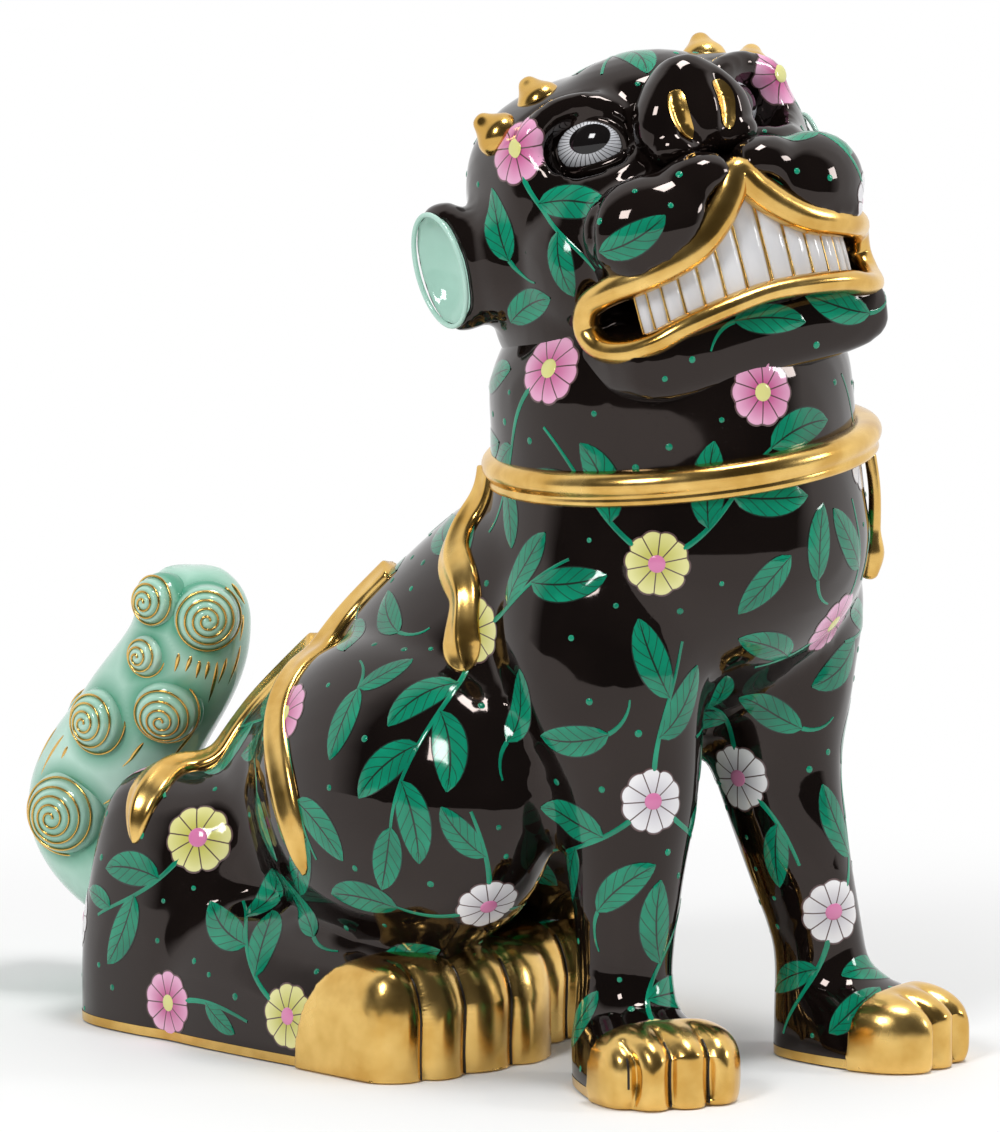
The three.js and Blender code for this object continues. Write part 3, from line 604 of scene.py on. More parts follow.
for side, back in ((-1, 0), (1, LEFT_BACK)):
    x = [HIP_X + side * (HAUNCH_OUT - inward) for inward in (44, 45, 46, 47, 48, 51)]
    ball(clay, (x[4], 43 + back, 103), (47, 76, 64), lean=4 * side, sides=56)
    loft(
        clay,
        [
            (x[0], 156 + back, -30, 43.5, 46),
            (x[0], 156 + back, 30, 44, 46),
            (x[3], 152 + back, 74, 42, 43),
            (x[5], 147 + back, 104, 35, 36),
        ],
        square=3, domes=(0, 0.25),
    )
    loft(
        clay,
        [
            (x[0], 176 + back, 10, 38, 42),
            (x[0], 110 + back, 14, 44, 44),
            (x[1], 62 + back, 10, 44, 42),
            (x[2], 14 + back, 3, 42, 39),
        ],
        square=3, domes=(0.1, 0),
    )
for arm, paw in ((LEFT_ARM, LEFT_PAW), (RIGHT_ARM, RIGHT_PAW)):
    loft(clay, arm, rings=48, domes=(0.1, 0))
    foot = loft(
        clay, [(0, 17, 4, 17, 20), (0, -3, 8, 22.5, 28), (0, -27, 2, 26.5, 27), (0, -40, 0, 25, 24)],
        square=2.5, domes=(0.2, 0),
    )
    bmesh.ops.transform(clay, matrix=paw, verts=foot)
body = fused("body_glaze", clay, voxel=4, soften=10)
stand_flat(body)

# Head, shaped in its own frame: x to its left, -y forward
MUZZLE_HALF, MUZZLE_REACH, MUZZLE_BACK, MUZZLE_SQUARE = 63, 78, 4, 3.2


def muzzle_y(x, inset=0.0):
    side = min(1.0, abs(x) / (MUZZLE_HALF - inset))
    return MUZZLE_BACK - (MUZZLE_REACH - inset) * (1 - side**MUZZLE_SQUARE) ** (1 / MUZZLE_SQUARE)


HALF_LOOP = [
    (0, 16, 6.4), (6, 9, 6.6), (14, 1, 6.8), (24, -6, 6.8), (36, -10.5, 6.4), (46, -13, 6), (54, -14.8, 5.6),
    (58.6, -18.5, 5.2), (59.8, -26.5, 5), (58.6, -34, 5), (54, -38, 5), (46, -37.5, 4.6), (36, -34.5, 4.4),
    (18, -31.5, 4.2), (0, -30, 4.0),
]
LIP_LOOP = HALF_LOOP + [(-x, z, h) for x, z, h in HALF_LOOP[-2:0:-1]]
UPPER_LIP = ([0, 6, 14, 24, 36, 47, 56, 60.5], [16, 9, 1, -6, -10.5, -13, -15, -18])
LOWER_LIP = ([0, 18, 36, 48, 57, 60.5], [-30, -31.5, -34.5, -37.5, -38, -35])


def lip_z(x, lip):
    return float(np.interp(abs(x), *lip))


EYE, EYE_HALVES, EYE_LEAN = (27, -19.5, 40), (16.5, 14.5, 12.5), 50
ORBIT_HALVES = (19.5, 11, 15)
SOCKET_HALVES, SOCKET_AHEAD = (18, 14, 14.5), 12
LID_WIDE, LID_TALL, LID_LOW = 14.2, 9.4, 9.2
EAR, EAR_LEAN, EAR_OUT = (78, 24, 8), 10, 8
EAR_HOLLOW, EAR_LINING, EAR_RIM = (13, 15, 22), (12.5, 14.2, 21.2), 7.1


def eye_frame(side):
    return Matrix.Translation((EYE[0] * side, EYE[1], EYE[2])) @ turn(EYE_LEAN * side, "Z")


def on_orbit(across, up):
    """A place on the swelling round the eye, in the eye's own frame."""
    inside = max(0.0, 1 - (across / ORBIT_HALVES[0]) ** 2 - (up / ORBIT_HALVES[2]) ** 2)
    return across, -ORBIT_HALVES[1] * math.sqrt(inside), up


clay = bmesh.new()
loft(
    clay,
    [
        (0, 58, 6, 44, 36), (0, 40, 4, 60, 52), (0, 12, 7, 68, 61), (0, -10, 8, 67, 57),
        (0, -28, 5, 55, 36), (0, -42, 0, 54, 25), (0, -56, -2, 54, 25), (0, -72, 5, 50, 20),
    ],
    sides=56, square=3.2, domes=(0.1, 0.08),
)
ball(clay, (0, -5, 46), (40, 31, 25))
sockets = []
for side in (1, -1):
    socket = bmesh.new()
    ball(socket, (0, -SOCKET_AHEAD, -2), SOCKET_HALVES)
    socket.transform(eye_frame(side))
    sockets.append(piece("eye_socket", socket))
block = fused("skull_block", clay, voxel=2.3, soften=2, fine=False, cutters=sockets)
clay = bmesh.new()
clay.from_mesh(block.data)
bpy.data.objects.remove(block)
loft(
    clay,
    [
        (0, 40, -32, 56, 14), (0, 14, -36, 66, 14), (0, -20, -40, 64, 14), (0, -46, -45, 60, 15),
        (0, -66, -49, 54, 15),
    ],
    sides=48, square=4, domes=(0.1, 0.1),
)
BROW = [
    (58, -15, 42, 4.5), (53, -18, 49, 5.5), (45, -20, 54, 5.5), (37, -22.5, 56, 5.5), (28.5, -26, 54.5, 5.5),
    (21.5, -30, 49, 5), (17, -33.5, 43, 4),
]
# Pads of the left side: cheekbone, muzzle lobe, lobe under the nose, jaw hinge, cheek, ear and its root
PADS = [
    ((49, -24, 10), (12, 21, 17), -6), ((35, -60, 5), (26, 17, 20), 20), ((14, -66, 16), (17, 12, 12), 10),
    ((57, 6, -20), (13, 32, 26), 0), ((57, -14, -4), (11, 26, 24), 0), (EAR, (13, 18, 26), -EAR_LEAN),
    ((67, 13, 4), (13, 23, 23), 0),
]
for side in (1, -1):
    for (x, y, z), halves, lean in PADS:
        ball(clay, (x * side, y, z), halves, lean=lean * side)
    loft(clay, [(x * side, y, z, r, r) for x, y, z, r in BROW], sides=20, domes=(0.1, 0.1))
    orbit = ball(clay, (0, 0, 0), ORBIT_HALVES)
    bmesh.ops.transform(clay, matrix=eye_frame(side), verts=orbit)
cutters = []
for side in (1, -1):
    hollow = bmesh.new()
    away = Vector((math.cos(math.radians(EAR_LEAN)), -math.sin(math.radians(EAR_LEAN)), 0)) * EAR_OUT
    ball(hollow, (side * (EAR[0] + away.x), EAR[1] + away.y, EAR[2]), EAR_HOLLOW, lean=-EAR_LEAN * side)
    cutters.append(piece("ear_hollow", hollow))
mouth = bmesh.new()
MOUTH_DEEP, MOUTH_AHEAD = 17, 5
MOUTH_STOPS = [6, 14, 24, 36, 46, 53, 57, 60]
sections = []
for x in [-stop for stop in reversed(MOUTH_STOPS)] + [0] + MOUTH_STOPS:
    top, low = lip_z(x, UPPER_LIP), lip_z(x, LOWER_LIP)
    y = muzzle_y(x) + MOUTH_DEEP / 2 - MOUTH_AHEAD
    sections.append((x, y, (top + low) / 2, MOUTH_DEEP / 2 + MOUTH_AHEAD, (top - low) / 2))
loft(mouth, sections, sides=32, rings=64, across=lambda c: (c.x, c.y + 10, 0), square=6)
cutters.append(fused("mouth_hollow", mouth, voxel=1.6, soften=2, fine=False))
head = fused("head_glaze", clay, voxel=2.3, soften=5, cutters=cutters)
# Creases under the nose, over the brow and round the muzzle lobe
CREASES = [
    ([(0, -60, 27), (0, -68, 25), (0, -76, 21)], 2.2, 3.2),
    ([(58, -9, 51), (50, -13, 59), (42, -16, 62), (33, -20, 62), (25, -24, 58)], 1.2, 1.6),
    ([(28, -49, 27), (39, -53, 26), (48, -55, 21), (52, -57, 14), (55, -56, 6), (59, -52, -2)], 2.4, 3.0),
]
carve(head, CREASES, both=True)

# Eyelids: a roll round each eye, thicker and flatter below, with two folds over it
LID_THICK, LOWER_FORWARD, LOWER_THICK = 1.7, 2.6, 1.7
LID_FOLDS = [(1.2, 1.34, 1.7), (1.38, 1.62, 1.5)]
RING_STOPS, FOLD_STOPS = 24, 9
for side in (1, -1):
    clay = bmesh.new()
    ring = []
    for i in range(RING_STOPS):
        around = i / RING_STOPS * 2 * math.pi
        across, lift = LID_WIDE * math.cos(around), math.sin(around)
        up = LID_TALL * lift**1.15 if lift > 0 else -LID_LOW * abs(lift) ** 0.35
        below = min(0, lift)
        halves = (LID_THICK - LOWER_FORWARD * below, LID_THICK - LOWER_THICK * below)
        ring.append((*on_orbit(across, up), *halves))
    loft(clay, ring, sides=12, rings=96, across=(0, 1, 0), closed=True)
    for spread, rise, thick in LID_FOLDS:
        fold = []
        for i in range(FOLD_STOPS):
            around = math.radians(18 + 150 * i / (FOLD_STOPS - 1))
            across, up = LID_WIDE * spread * math.cos(around), LID_TALL * rise * math.sin(around)
            y = on_orbit(min(19, max(-19, across)), min(13.5, up))[1]
            fold.append((across, y, up, thick, thick))
        loft(clay, fold, sides=12, rings=40, across=(0, 1, 0), domes=(0.25, 0.25))
    clay.transform(eye_frame(side))
    lids = bpy.data.meshes.new("lids")
    clay.to_mesh(lids)
    clay.free()
    joined = bmesh.new()
    joined.from_mesh(head.data)
    joined.from_mesh(lids)
    put_in_order(head, joined, joined.verts)
head.data.transform(HEAD)

# Nose: a rounded button that stands off the face, with two sunk nostrils
NOSE = [
    (0, -46.5, 26.5, 13, 9), (0, -47, 30, 20.5, 11.5), (0, -47.5, 36, 24.5, 13), (0, -47.5, 43, 24, 13.2),
    (0, -47, 50, 20.5, 12.5), (0, -46.5, 56, 15.5, 11), (0, -46, 61, 9.5, 8.5), (0, -45.5, 64, 4.5, 5),
]
clay = bmesh.new()
loft(clay, NOSE, sides=48, rings=40, square=2.5, domes=(0.06, 0.06))
for side in (1, -1):
    ball(clay, (12.5 * side, -52.5, 31), (10.5, 9.5, 7.5))
nose = fused("nose_glaze", clay, voxel=1.3, soften=5)
NOSTRIL = [(9.4, -59, 52.5), (10.6, -61, 46), (10, -61.5, 39), (7.6, -61, 33)]
carve(nose, [(NOSTRIL, 3.0, 3.2)], both=True)
nose.data.transform(HEAD)
nose_skin = Skin(nose)
NOSTRIL_HALF, GILT_THICK = 3.5, 0.3
ALL_AXES = dict(use_axis_x=True, use_axis_y=True, use_axis_z=True)
clay = bmesh.new()
for side in (1, -1):
    path = flow([HEAD @ Vector((x * side, y, z)) for x, y, z in NOSTRIL])
    sheet = bmesh.ops.create_grid(clay, x_segments=16, y_segments=40, size=1)["verts"]
    for v in sheet:
        down = (v.co.y + 1) / 2
        half = NOSTRIL_HALF * math.sin(math.pi * down**0.6) ** 0.8
        v.co = nose_skin.over(path(down) + HEAD.to_3x3() @ Vector((half * v.co.x, 0, 0)), GILT_THICK)
bmesh.ops.remove_doubles(clay, verts=clay.verts, dist=0.01)
for _ in range(3):
    bmesh.ops.smooth_vert(clay, verts=clay.verts, factor=0.5, **ALL_AXES)
for v in clay.verts:
    v.co = nose_skin.over(v.co, GILT_THICK)
nostrils = piece("nostril_gilding", clay)

# Gilt lips: one closed roll, thicker above
clay = bmesh.new()
loft(
    clay,
    [(x, muzzle_y(x) + 2, z, 5.8, high) for x, z, high in LIP_LOOP],
    closed=True, sides=20, rings=180, across=lambda c: (c.x, c.y + 10, 0),
)
lips = piece("lip_roll", clay)
lips.data.transform(HEAD)

# Teeth stand behind the lips in a bowed row, with gilt lines between them
FRONT_TOOTH, SIDE_TEETH, TOOTH_INSET = 11.0, (9.6, 9, 8, 7, 6, 5), 5.5


def tooth_arc():
    """The bowed line of the teeth's faces, by length from the middle."""
    xs = np.linspace(0, MUZZLE_HALF - TOOTH_INSET, 400)
    ys = np.array([muzzle_y(x, TOOTH_INSET) for x in xs])
    run = np.concatenate([[0], np.cumsum(np.hypot(np.diff(xs), np.diff(ys)))])
    return run, xs, ys


ARC_RUN, ARC_X, ARC_Y = tooth_arc()


def on_arc(length):
    x = float(np.interp(abs(length), ARC_RUN, ARC_X))
    y = float(np.interp(abs(length), ARC_RUN, ARC_Y))
    return Vector((math.copysign(x, length), y, 0))


teeth_clay, line_clay = bmesh.new(), bmesh.new()
edges = np.cumsum((FRONT_TOOTH / 2, *SIDE_TEETH)).tolist()
edges = [-edge for edge in reversed(edges)] + edges
for left, right in zip(edges, edges[1:]):
    middle = on_arc((left + right) / 2)
    face = (on_arc(right) - on_arc(left)).normalized()
    top, low = lip_z(middle.x, UPPER_LIP), lip_z(middle.x, LOWER_LIP)
    inner = Vector((-face.y, face.x, 0)) * 4
    spots = [middle + inner + Vector((0, 0, z)) for z in (low - 1, (low + top) / 2, top + 1)]
    half = (right - left) / 2
    loft(
        teeth_clay,
        [(*spots[0], half - 0.3, 4.4), (*spots[1], half, 4.8), (*spots[2], half - 0.2, 4.2)],
        sides=20, rings=12, across=tuple(face), square=3.4,
    )
for edge in edges:
    spot = on_arc(edge)
    face = (on_arc(edge + 0.5) - on_arc(edge - 0.5)).normalized()
    inner = Vector((-face.y, face.x, 0))
    top, low = lip_z(spot.x, UPPER_LIP), lip_z(spot.x, LOWER_LIP)
    spots = [spot + inner * 1.1 + Vector((0, 0, z)) for z in (low - 1, (low + top) / 2, top + 1)]
    loft(line_clay, [(*at, 0.75, 1.1) for at in spots], sides=8, rings=10, across=tuple(face))
teeth = piece("teeth_row", teeth_clay)
teeth.data.transform(HEAD)
tooth_lines = piece("tooth_lines", line_clay)
tooth_lines.data.transform(HEAD)

# Eyes
eyes = []
for side, name in ((1, "left_eye"), (-1, "right_eye")):
    clay = bmesh.new()
    ball(clay, (0, 0, 0), EYE_HALVES, sides=56)
    clay.transform(HEAD @ eye_frame(side))
    eyes.append((piece(f"{name}_ball", clay), name, side))

# Ear linings: a cup pressed onto the ear's hollow
head_skin = Skin(head)
linings = []
for side, name in ((1, "left"), (-1, "right")):
    clay = bmesh.new()
    out = Vector((math.cos(math.radians(EAR_LEAN)) * side, -math.sin(math.radians(EAR_LEAN)), 0))
    centre = Vector((EAR[0] * side, EAR[1], EAR[2])) + out * EAR_OUT
    ball(clay, centre, EAR_LINING, lean=-EAR_LEAN * side, sides=64)
    sliced(clay, centre - out * 0.6, out, clear_outer=True)
    clay.transform(HEAD)
    for v in clay.verts:
        v.co = head_skin.over(v.co, 0.35)
    bmesh.ops.recalc_face_normals(clay, faces=clay.faces)
    way_out = HEAD.to_3x3() @ out
    if sum((f.normal.dot(way_out) for f in clay.faces)) < 0:
        bmesh.ops.reverse_faces(clay, faces=clay.faces)
    linings.append(as_object(f"{name}_ear_lining", clay))

# Ear rims: a roll round each hollow
clay = bmesh.new()
for side in (1, -1):
    ring = []
    for i in range(RING_STOPS):
        around = i / RING_STOPS * 2 * math.pi
        y, z = EAR_HOLLOW[1] * math.cos(around), EAR_HOLLOW[2] * math.sin(around)
        ring.append((EAR_RIM * side, y, z, 1.0, 1.0))
    made = loft(clay, ring, sides=14, rings=96, closed=True)
    ear_frame = Matrix.Translation((EAR[0] * side, *EAR[1:])) @ turn(-EAR_LEAN * side, "Z")
    bmesh.ops.transform(clay, matrix=HEAD @ ear_frame, verts=made)
ear_rims = piece("ear_rims", clay)

# Horns: four turned cones on the crown
HORN = [(0, -7), (9.6, -7), (9.4, 0), (7.6, 2.2), (5.5, 4.2), (4.2, 6), (3.4, 7.6), (2.2, 8.8), (0, 9.2)]
HORN_SWEPT = 18
HORNS = {
    "left_inner_horn": ((37, 1, 62.5), 14), "right_inner_horn": ((-37, 1, 62.5), -14),
    "left_outer_horn": ((57, 3, 54), 34), "right_outer_horn": ((-57, 3, 54), -34),
}
horns = []
for name, (spot, tilt) in HORNS.items():
    clay = turned(HORN, steps=36)
    clay.transform(HEAD @ Matrix.Translation(spot) @ turn(tilt, "Y") @ turn(-HORN_SWEPT, "X"))
    horns.append((finer_piece(f"{name}_gilt", clay), name))

# Toes: a blunt gilt block on each foot, with valleys pressed into it and a dark line along each
HIND = dict(
    half=48, middle=6, tall=41, front=-8, root=70, dome=0.28, square=5.0, edge=(17, 37, 47.5),
    valleys=(30, 8, -17), press=((3.0, 6.0), (1.8, 2.2)), voxel=1.7,
)
FORE = dict(
    half=29, middle=10, tall=20, front=-60, root=-14, dome=0.58, square=3.2, edge=(-34, 9, 30.5),
    valleys=(22, 6.5, -9.5), press=((3.4, 4.4), (1.8, 1.7)), voxel=1.2,
)
WELL_PAST, WELL_ABOVE, WELL_BESIDE = 90, 120, 20
TOE_LINE = 0.5
VALLEY_STOPS = 40
toe_line_clay = bmesh.new()


def behind_toes(edge, half):
    """What is cut away behind the toes: in the side view it ends in a quarter oval."""
    middle, deep, high = edge
    back = middle + deep + WELL_PAST
    outline = [(middle + deep, -WELL_PAST)]
    for i in range(17):
        around = math.radians(90 * i / 16)
        outline.append((middle + deep * math.cos(around), high * math.sin(around)))
    outline += [(middle, WELL_ABOVE), (back, WELL_ABOVE), (back, -WELL_PAST)]
    stops = []
    for x in (-half - WELL_BESIDE, half + WELL_BESIDE):
        stop = Matrix(((0, 0, 1), (1, 0, 0), (0, 1, 0))).to_4x4()
        stop.translation = (x, 0, 0)
        stops.append(stop)
    clay = bmesh.new()
    sweep(clay, outline, stops)
    return piece("behind_toes", clay)


def toe_row(name, place, side, half, middle, tall, front, root, dome, square, edge, valleys, press, voxel):
    """The toes of one foot, in its own frame: x from its middle, -y forward."""
    clay = bmesh.new()
    block = [(0, y, middle, half, tall) for y in (root, (root + front) / 2, front)]
    loft(clay, block, sides=72, rings=24, square=square, domes=(0, dome), blunt=2.2)
    row = fused(f"{name}_gilt", clay, voxel=voxel, soften=4, cutters=[behind_toes(edge, half)])

    def down_valley(across, low, high):
        """The row's outline in a valley, seen from its middle between two angles above the table."""
        toe_skin = Skin(row)
        pivot = Vector((across * side, (edge[0] + front) / 2, middle))
        spots = []
        for i in range(VALLEY_STOPS + 1):
            around = math.radians(low + (high - low) * i / VALLEY_STOPS)
            way = Vector((0, math.cos(around), -math.sin(around)))
            hit = toe_skin.tree.ray_cast(pivot - way * WELL_PAST, way)[0]
            if hit:
                spots.append(hit)
        return spots

    pressed = [(down_valley(across, -80, 106), *groove) for across in valleys for groove in press]
    carve(row, pressed, steps=90)
    for across in valleys:
        dark = [(*spot, TOE_LINE, TOE_LINE) for spot in down_valley(across, -60, 92)]
        made = loft(toe_line_clay, dark, sides=6, rings=100)
        bmesh.ops.transform(toe_line_clay, matrix=place, verts=made)
    row.data.transform(place)
    stand_flat(row)
    return row, name


toe_rows = [
    toe_row("right_hind_toes", Matrix.Translation((HIP_X - 44, 0, 0)), -1, **HIND),
    toe_row("left_hind_toes", Matrix.Translation((HIP_X + 44, LEFT_BACK, 0)), 1, **HIND),
    toe_row("left_fore_toes", LEFT_PAW, 1, **FORE),
    toe_row("right_fore_toes", RIGHT_PAW, -1, **FORE),
]
toe_lines = piece("toe_lines", toe_line_clay)
stand_flat(toe_lines)

# Gilt line round the foot of the body
FOOT_LINE = 3.6
clay = bmesh.new()
clay.from_mesh(body.data)
sliced(clay, (0, 0, FOOT_LINE), (0, 0, 1), clear_outer=True)
bmesh.ops.delete(clay, geom=[f for f in clay.faces if f.calc_center_median().z < 0.01], context="FACES")
for v in clay.verts:
    v.co += Vector((v.normal.x, v.normal.y, 0)) * 0.2
foot_line = piece("foot_line", clay)

# Collar: a thick roll over a thin bead
COLLAR = [
    (65, 6.5), (65, -6), (73, -7), (75.5, -6.6), (76.6, -5), (76, -3.4), (75.8, -2.6), (77.6, -0.8),
    (78.2, 1.6), (77.4, 4.4), (75, 6.6), (71, 7.2),
]
clay = turned(COLLAR, steps=120, closed=True)
clay.transform(Matrix.Translation(COLLAR_PLACE) @ turn(COLLAR_TILT, "Y"))
collar = finer_piece("collar_roll", clay)
STRAND = [
    (53, -83, 238, 2.4, 2.4), (55, -84, 222, 2.4, 2.4), (56, -83, 207, 2.6, 2.6), (56, -82, 197, 5, 4.6),
    (55, -81, 187, 3, 3),
]
clay = bmesh.new()
loft(clay, STRAND, sides=24, rings=48, domes=(0.05, 0.06))
collar_drop = piece("collar_strand", clay)

# Streamers: ribbons with a raised ridge, laid on the skin
body_skin = Skin(body)
STREAMERS = {
    "right_shoulder_streamer": [
        (-54, 20, 232), (-62, 24, 214), (-71, 20, 198), (-78, 7, 184), (-82, 5, 168), (-84, 1, 154),
    ],
    "right_flank_streamer": [
        (-50, 72, 184), (-58, 86, 171), (-75, 92, 157), (-95, 86, 146), (-111, 79, 131), (-121, 67, 112),
        (-123, 58, 92), (-118, 55, 74),
    ],
    "right_haunch_streamer": [
        (-58, 106, 152), (-60, 126, 134), (-66, 142, 119), (-80, 153, 111), (-96, 159, 106), (-113, 156, 94),
        (-122, 154, 76),
    ],
}


def on_left(place):
    """The same place on the left: mirrored about the bent back, then about the hips on the haunch."""
    x, y, z = place
    down_back = min(1, max(0, (0.72 * y - 0.69 * z + 157) / 180))
    back = HIP_X * down_back**1.3
    onto_haunch = min(1, max(0, (back - x - 50) / 30)) if y > 40 else 0
    middle = back + (HIP_X - back) * onto_haunch
    return 2 * middle - x, y + LEFT_BACK * onto_haunch, z


for name in list(STREAMERS):
    STREAMERS[name.replace("right", "left")] = [on_left(p) for p in STREAMERS[name]]
STREAMER_HALF, STREAMER_HIGH, STREAMER_STEPS, TIP_FROM = 8.4, 5.4, 72, 0.86
RIDGE = [
    (1.0, -0.5), (1.0, 0.1), (0.86, 0.42), (0.6, 0.52), (0.32, 0.74), (0.12, 0.97), (0, 1.0), (-0.12, 0.97),
    (-0.32, 0.74), (-0.6, 0.52), (-0.86, 0.42), (-1.0, 0.1), (-1.0, -0.5), (-0.4, -0.5), (0.4, -0.5),
]
streamers = []
for name, points in STREAMERS.items():
    path = flow(points)
    steps = STREAMER_STEPS
    spots = [body_skin.near(path(i / steps)) for i in range(steps + 1)]
    middles = [s for s, _ in spots]
    for _ in range(3):
        eased = [(a + b * 2 + c) / 4 for a, b, c in zip(middles, middles[1:], middles[2:])]
        middles = [middles[0]] + eased + [middles[-1]]
    stops = []
    for i in range(steps + 1):
        share = i / steps
        up = sum((n for _, n in spots[max(0, i - 4): i + 5]), Vector()).normalized()
        along = (middles[min(steps, i + 1)] - middles[max(0, i - 1)]).normalized()
        tip = max(0.0, (share - TIP_FROM) / (1 - TIP_FROM))
        narrow = max(0.05, (1 - tip**2.2) ** 0.5) * min(1, 0.72 + 1.6 * (1 - share)) if tip < 1 else 0.05
        sway = 1 + 0.08 * math.sin(share * 17 + len(points))
        width = along.cross(up).normalized()
        wide = width * STREAMER_HALF * narrow * sway
        high = along.cross(width) * -STREAMER_HIGH * max(0.3, narrow)
        shape = Matrix((wide, high, along)).transposed().to_4x4()
        shape.translation = middles[i]
        stops.append(shape)
    clay = bmesh.new()
    sweep(clay, RIDGE, stops)
    streamers.append((finer_piece(f"{name}_ribbon", clay), name))

# Tail: a thick plume and its snail curls
TAIL = [
    (-44, 180, 46, 18, 18), (-52, 226, 46, 26, 24), (-56, 252, 74, 31, 30), (-54, 226, 112, 31, 28),
    (-52, 199, 148, 27, 25), (-52, 196, 182, 22, 22),
]
TAIL_WIDE = (0.72, 0.69, 0)
# Curls by share of the spine, angle round it and radius, and streaks from one such place to another
CURLS = [
    (0.91, 142, 11.8), (0.88, 199, 14.8), (0.785, 147, 9.8), (0.62, 146, 14.8), (0.72, 193, 14.8),
    (0.42, 158, 18.4), (0.84, 20, 14), (0.5, 30, 18),
]
CURL_SUNK, CURL_TALL, CURL_INNER = 6, 0.7, 0.07
CURL_FACE = Vector((-0.94, -0.32, 0.09))
STREAKS = [
    ((0.815, 177), (0.785, 180)), ((0.815, 189), (0.79, 189)), ((0.81, 198), (0.785, 201)),
    ((0.81, 207), (0.785, 210)), ((0.81, 216), (0.75, 226)), ((0.815, 226), (0.78, 226)),
    ((0.83, 243), (0.775, 240)), ((0.88, 246), (0.835, 241)), ((0.535, 123), (0.455, 123)),
    ((0.51, 100), (0.455, 104)), ((0.535, 136), (0.51, 138)), ((0.65, 192), (0.58, 186)),
    ((0.95, 230), (0.90, 250)), ((0.70, 230), (0.62, 222)), ((0.56, 205), (0.50, 190)),
]
clay = bmesh.new()
loft(clay, TAIL, sides=56, rings=60, across=TAIL_WIDE, domes=(0.1, 0.14))
plume = finer_piece("tail_plume_glaze", clay)
tail_middles = flow([s[:3] for s in TAIL])
tail_girths = flow([(s[3], s[4], 0) for s in TAIL])


def on_plume(along, angle):
    """A place on the plume and its outward way: a share of the spine and an angle round it."""
    half = tail_girths(along)
    place = stance(tail_middles(along), heading_at(tail_middles, along), TAIL_WIDE, 1, 1)
    around = math.radians(angle)
    spot = place @ Vector((half.x * math.cos(around), half.y * math.sin(around), 0))
    return spot, (spot - place.translation).normalized()


SNAIL_SPAN = 0.91


def snail(wound, turns):
    """The curl's spiral line: a share of its radius for the angle wound so far."""
    return CURL_INNER + SNAIL_SPAN * min(1.0, wound / (turns * 2 * math.pi))


SNAIL_STOPS, CURL_LINE = 120, (0.5, 0.5)
curls = []
tail_line_clay = bmesh.new()
for index, (along, angle, radius) in enumerate(CURLS, 1):
    spot, outward = on_plume(along, angle)
    axis = (outward + CURL_FACE * 0.35).normalized() if outward.dot(CURL_FACE) > 0 else outward
    stand = standing(spot - axis * CURL_SUNK, axis)
    tall = radius * CURL_TALL + CURL_SUNK
    turns = 1.2 + 0.2 * radius
    pitch = SNAIL_SPAN * radius / turns
    clay = bmesh.new()
    pool_and_shade = clay.verts.layers.float.new("pool_and_shade")
    ball(clay, (0, 0, 0), (radius, radius, tall), sides=88)
    clay.normal_update()
    for v in clay.verts:
        out = math.hypot(v.co.x, v.co.y) / radius
        # Painted shade, partly real glaze pooling: the curl's foot, where it sinks into the plume, is
        # darkened in the colour.
        v[pool_and_shade] = band_share(v.co.z, 0.55 * CURL_SUNK, 1.3 * CURL_SUNK)
        if v.co.z <= 0 or out > 0.995:
            continue
        bearing = math.atan2(v.co.y, v.co.x) % (2 * math.pi)
        gaps = [abs(out - snail(bearing + 2 * math.pi * k, turns)) for k in range(int(turns) + 1)]
        sunk = math.exp(-((min(gaps) * radius / (0.3 * pitch)) ** 2))
        # Painted shade, partly real glaze pooling: the spiral groove is darkened in the colour.
        v[pool_and_shade] = max(v[pool_and_shade], 0.55 * sunk)
        v.co -= v.normal * 0.26 * pitch * sunk
    points = []
    for k in range(SNAIL_STOPS + 1):
        wound = k / SNAIL_STOPS * turns * 2 * math.pi
        out = snail(wound, turns)
        high = tall * math.sqrt(max(0, 1 - out**2)) - 0.12 * pitch
        points.append((out * radius * math.cos(wound), out * radius * math.sin(wound), high, *CURL_LINE))
    line = loft(tail_line_clay, points, sides=8, rings=220, across=(0.3, 0.2, 1))
    bmesh.ops.transform(tail_line_clay, matrix=stand, verts=line)
    clay.transform(stand)
    curls.append((finer_piece(f"tail_curl_{index}_glaze", clay), f"tail_curl_{index}"))
for start, end in STREAKS:
    shares = [i / 12 for i in range(13)]
    spots = [on_plume(*(a + (b - a) * share for a, b in zip(start, end))) for share in shares]
    thick = [0.25 + 0.75 * math.sin(math.pi * share**0.7) for share in shares]
    across = tuple(spots[6][1].cross(spots[12][0] - spots[0][0]).normalized())
    sections = [(*(spot - outward * 0.25), wide, 0.6 * wide) for (spot, outward), wide in zip(spots, thick)]
    loft(tail_line_clay, sections, sides=8, rings=24, across=across)
tail_lines = piece("tail_gilt_lines", tail_line_clay)
# Painted shade, partly real glaze pooling: the plume's colour is darkened within this reach of each curl's
# rim.
POOL_AND_SHADE_WIDE = 9.0
places = np.empty(len(plume.data.vertices) * 3)
plume.data.vertices.foreach_get("co", places)
away = np.full(len(places) // 3, 99.0)
for along, angle, radius in CURLS:
    gap = np.linalg.norm(places.reshape(-1, 3) - np.array(on_plume(along, angle)[0]), axis=1) - 0.85 * radius
    away = np.minimum(away, gap)
pool_and_shade_layer = plume.data.attributes.new("pool_and_shade", "FLOAT", "POINT")
pool_and_shade_layer.data.foreach_set("value", np.clip(1 - away / POOL_AND_SHADE_WIDE, 0, 1))

# Painted enamels: leaves and rosettes on scrolling stems, over the whole black ground
skin = Skin(body, head)
INTO_HEAD = HEAD.inverted()
PLACES_TRIED, FLOWER_GAP, FLOWER_HALF, FLOWER_VARIES = 7000, 64, 12.8, 1.7
STEM_HALF, STEM_ARMS, STEM_STEP, DOTS = 0.95, 3, 3, 230
brush = np.random.default_rng(7)


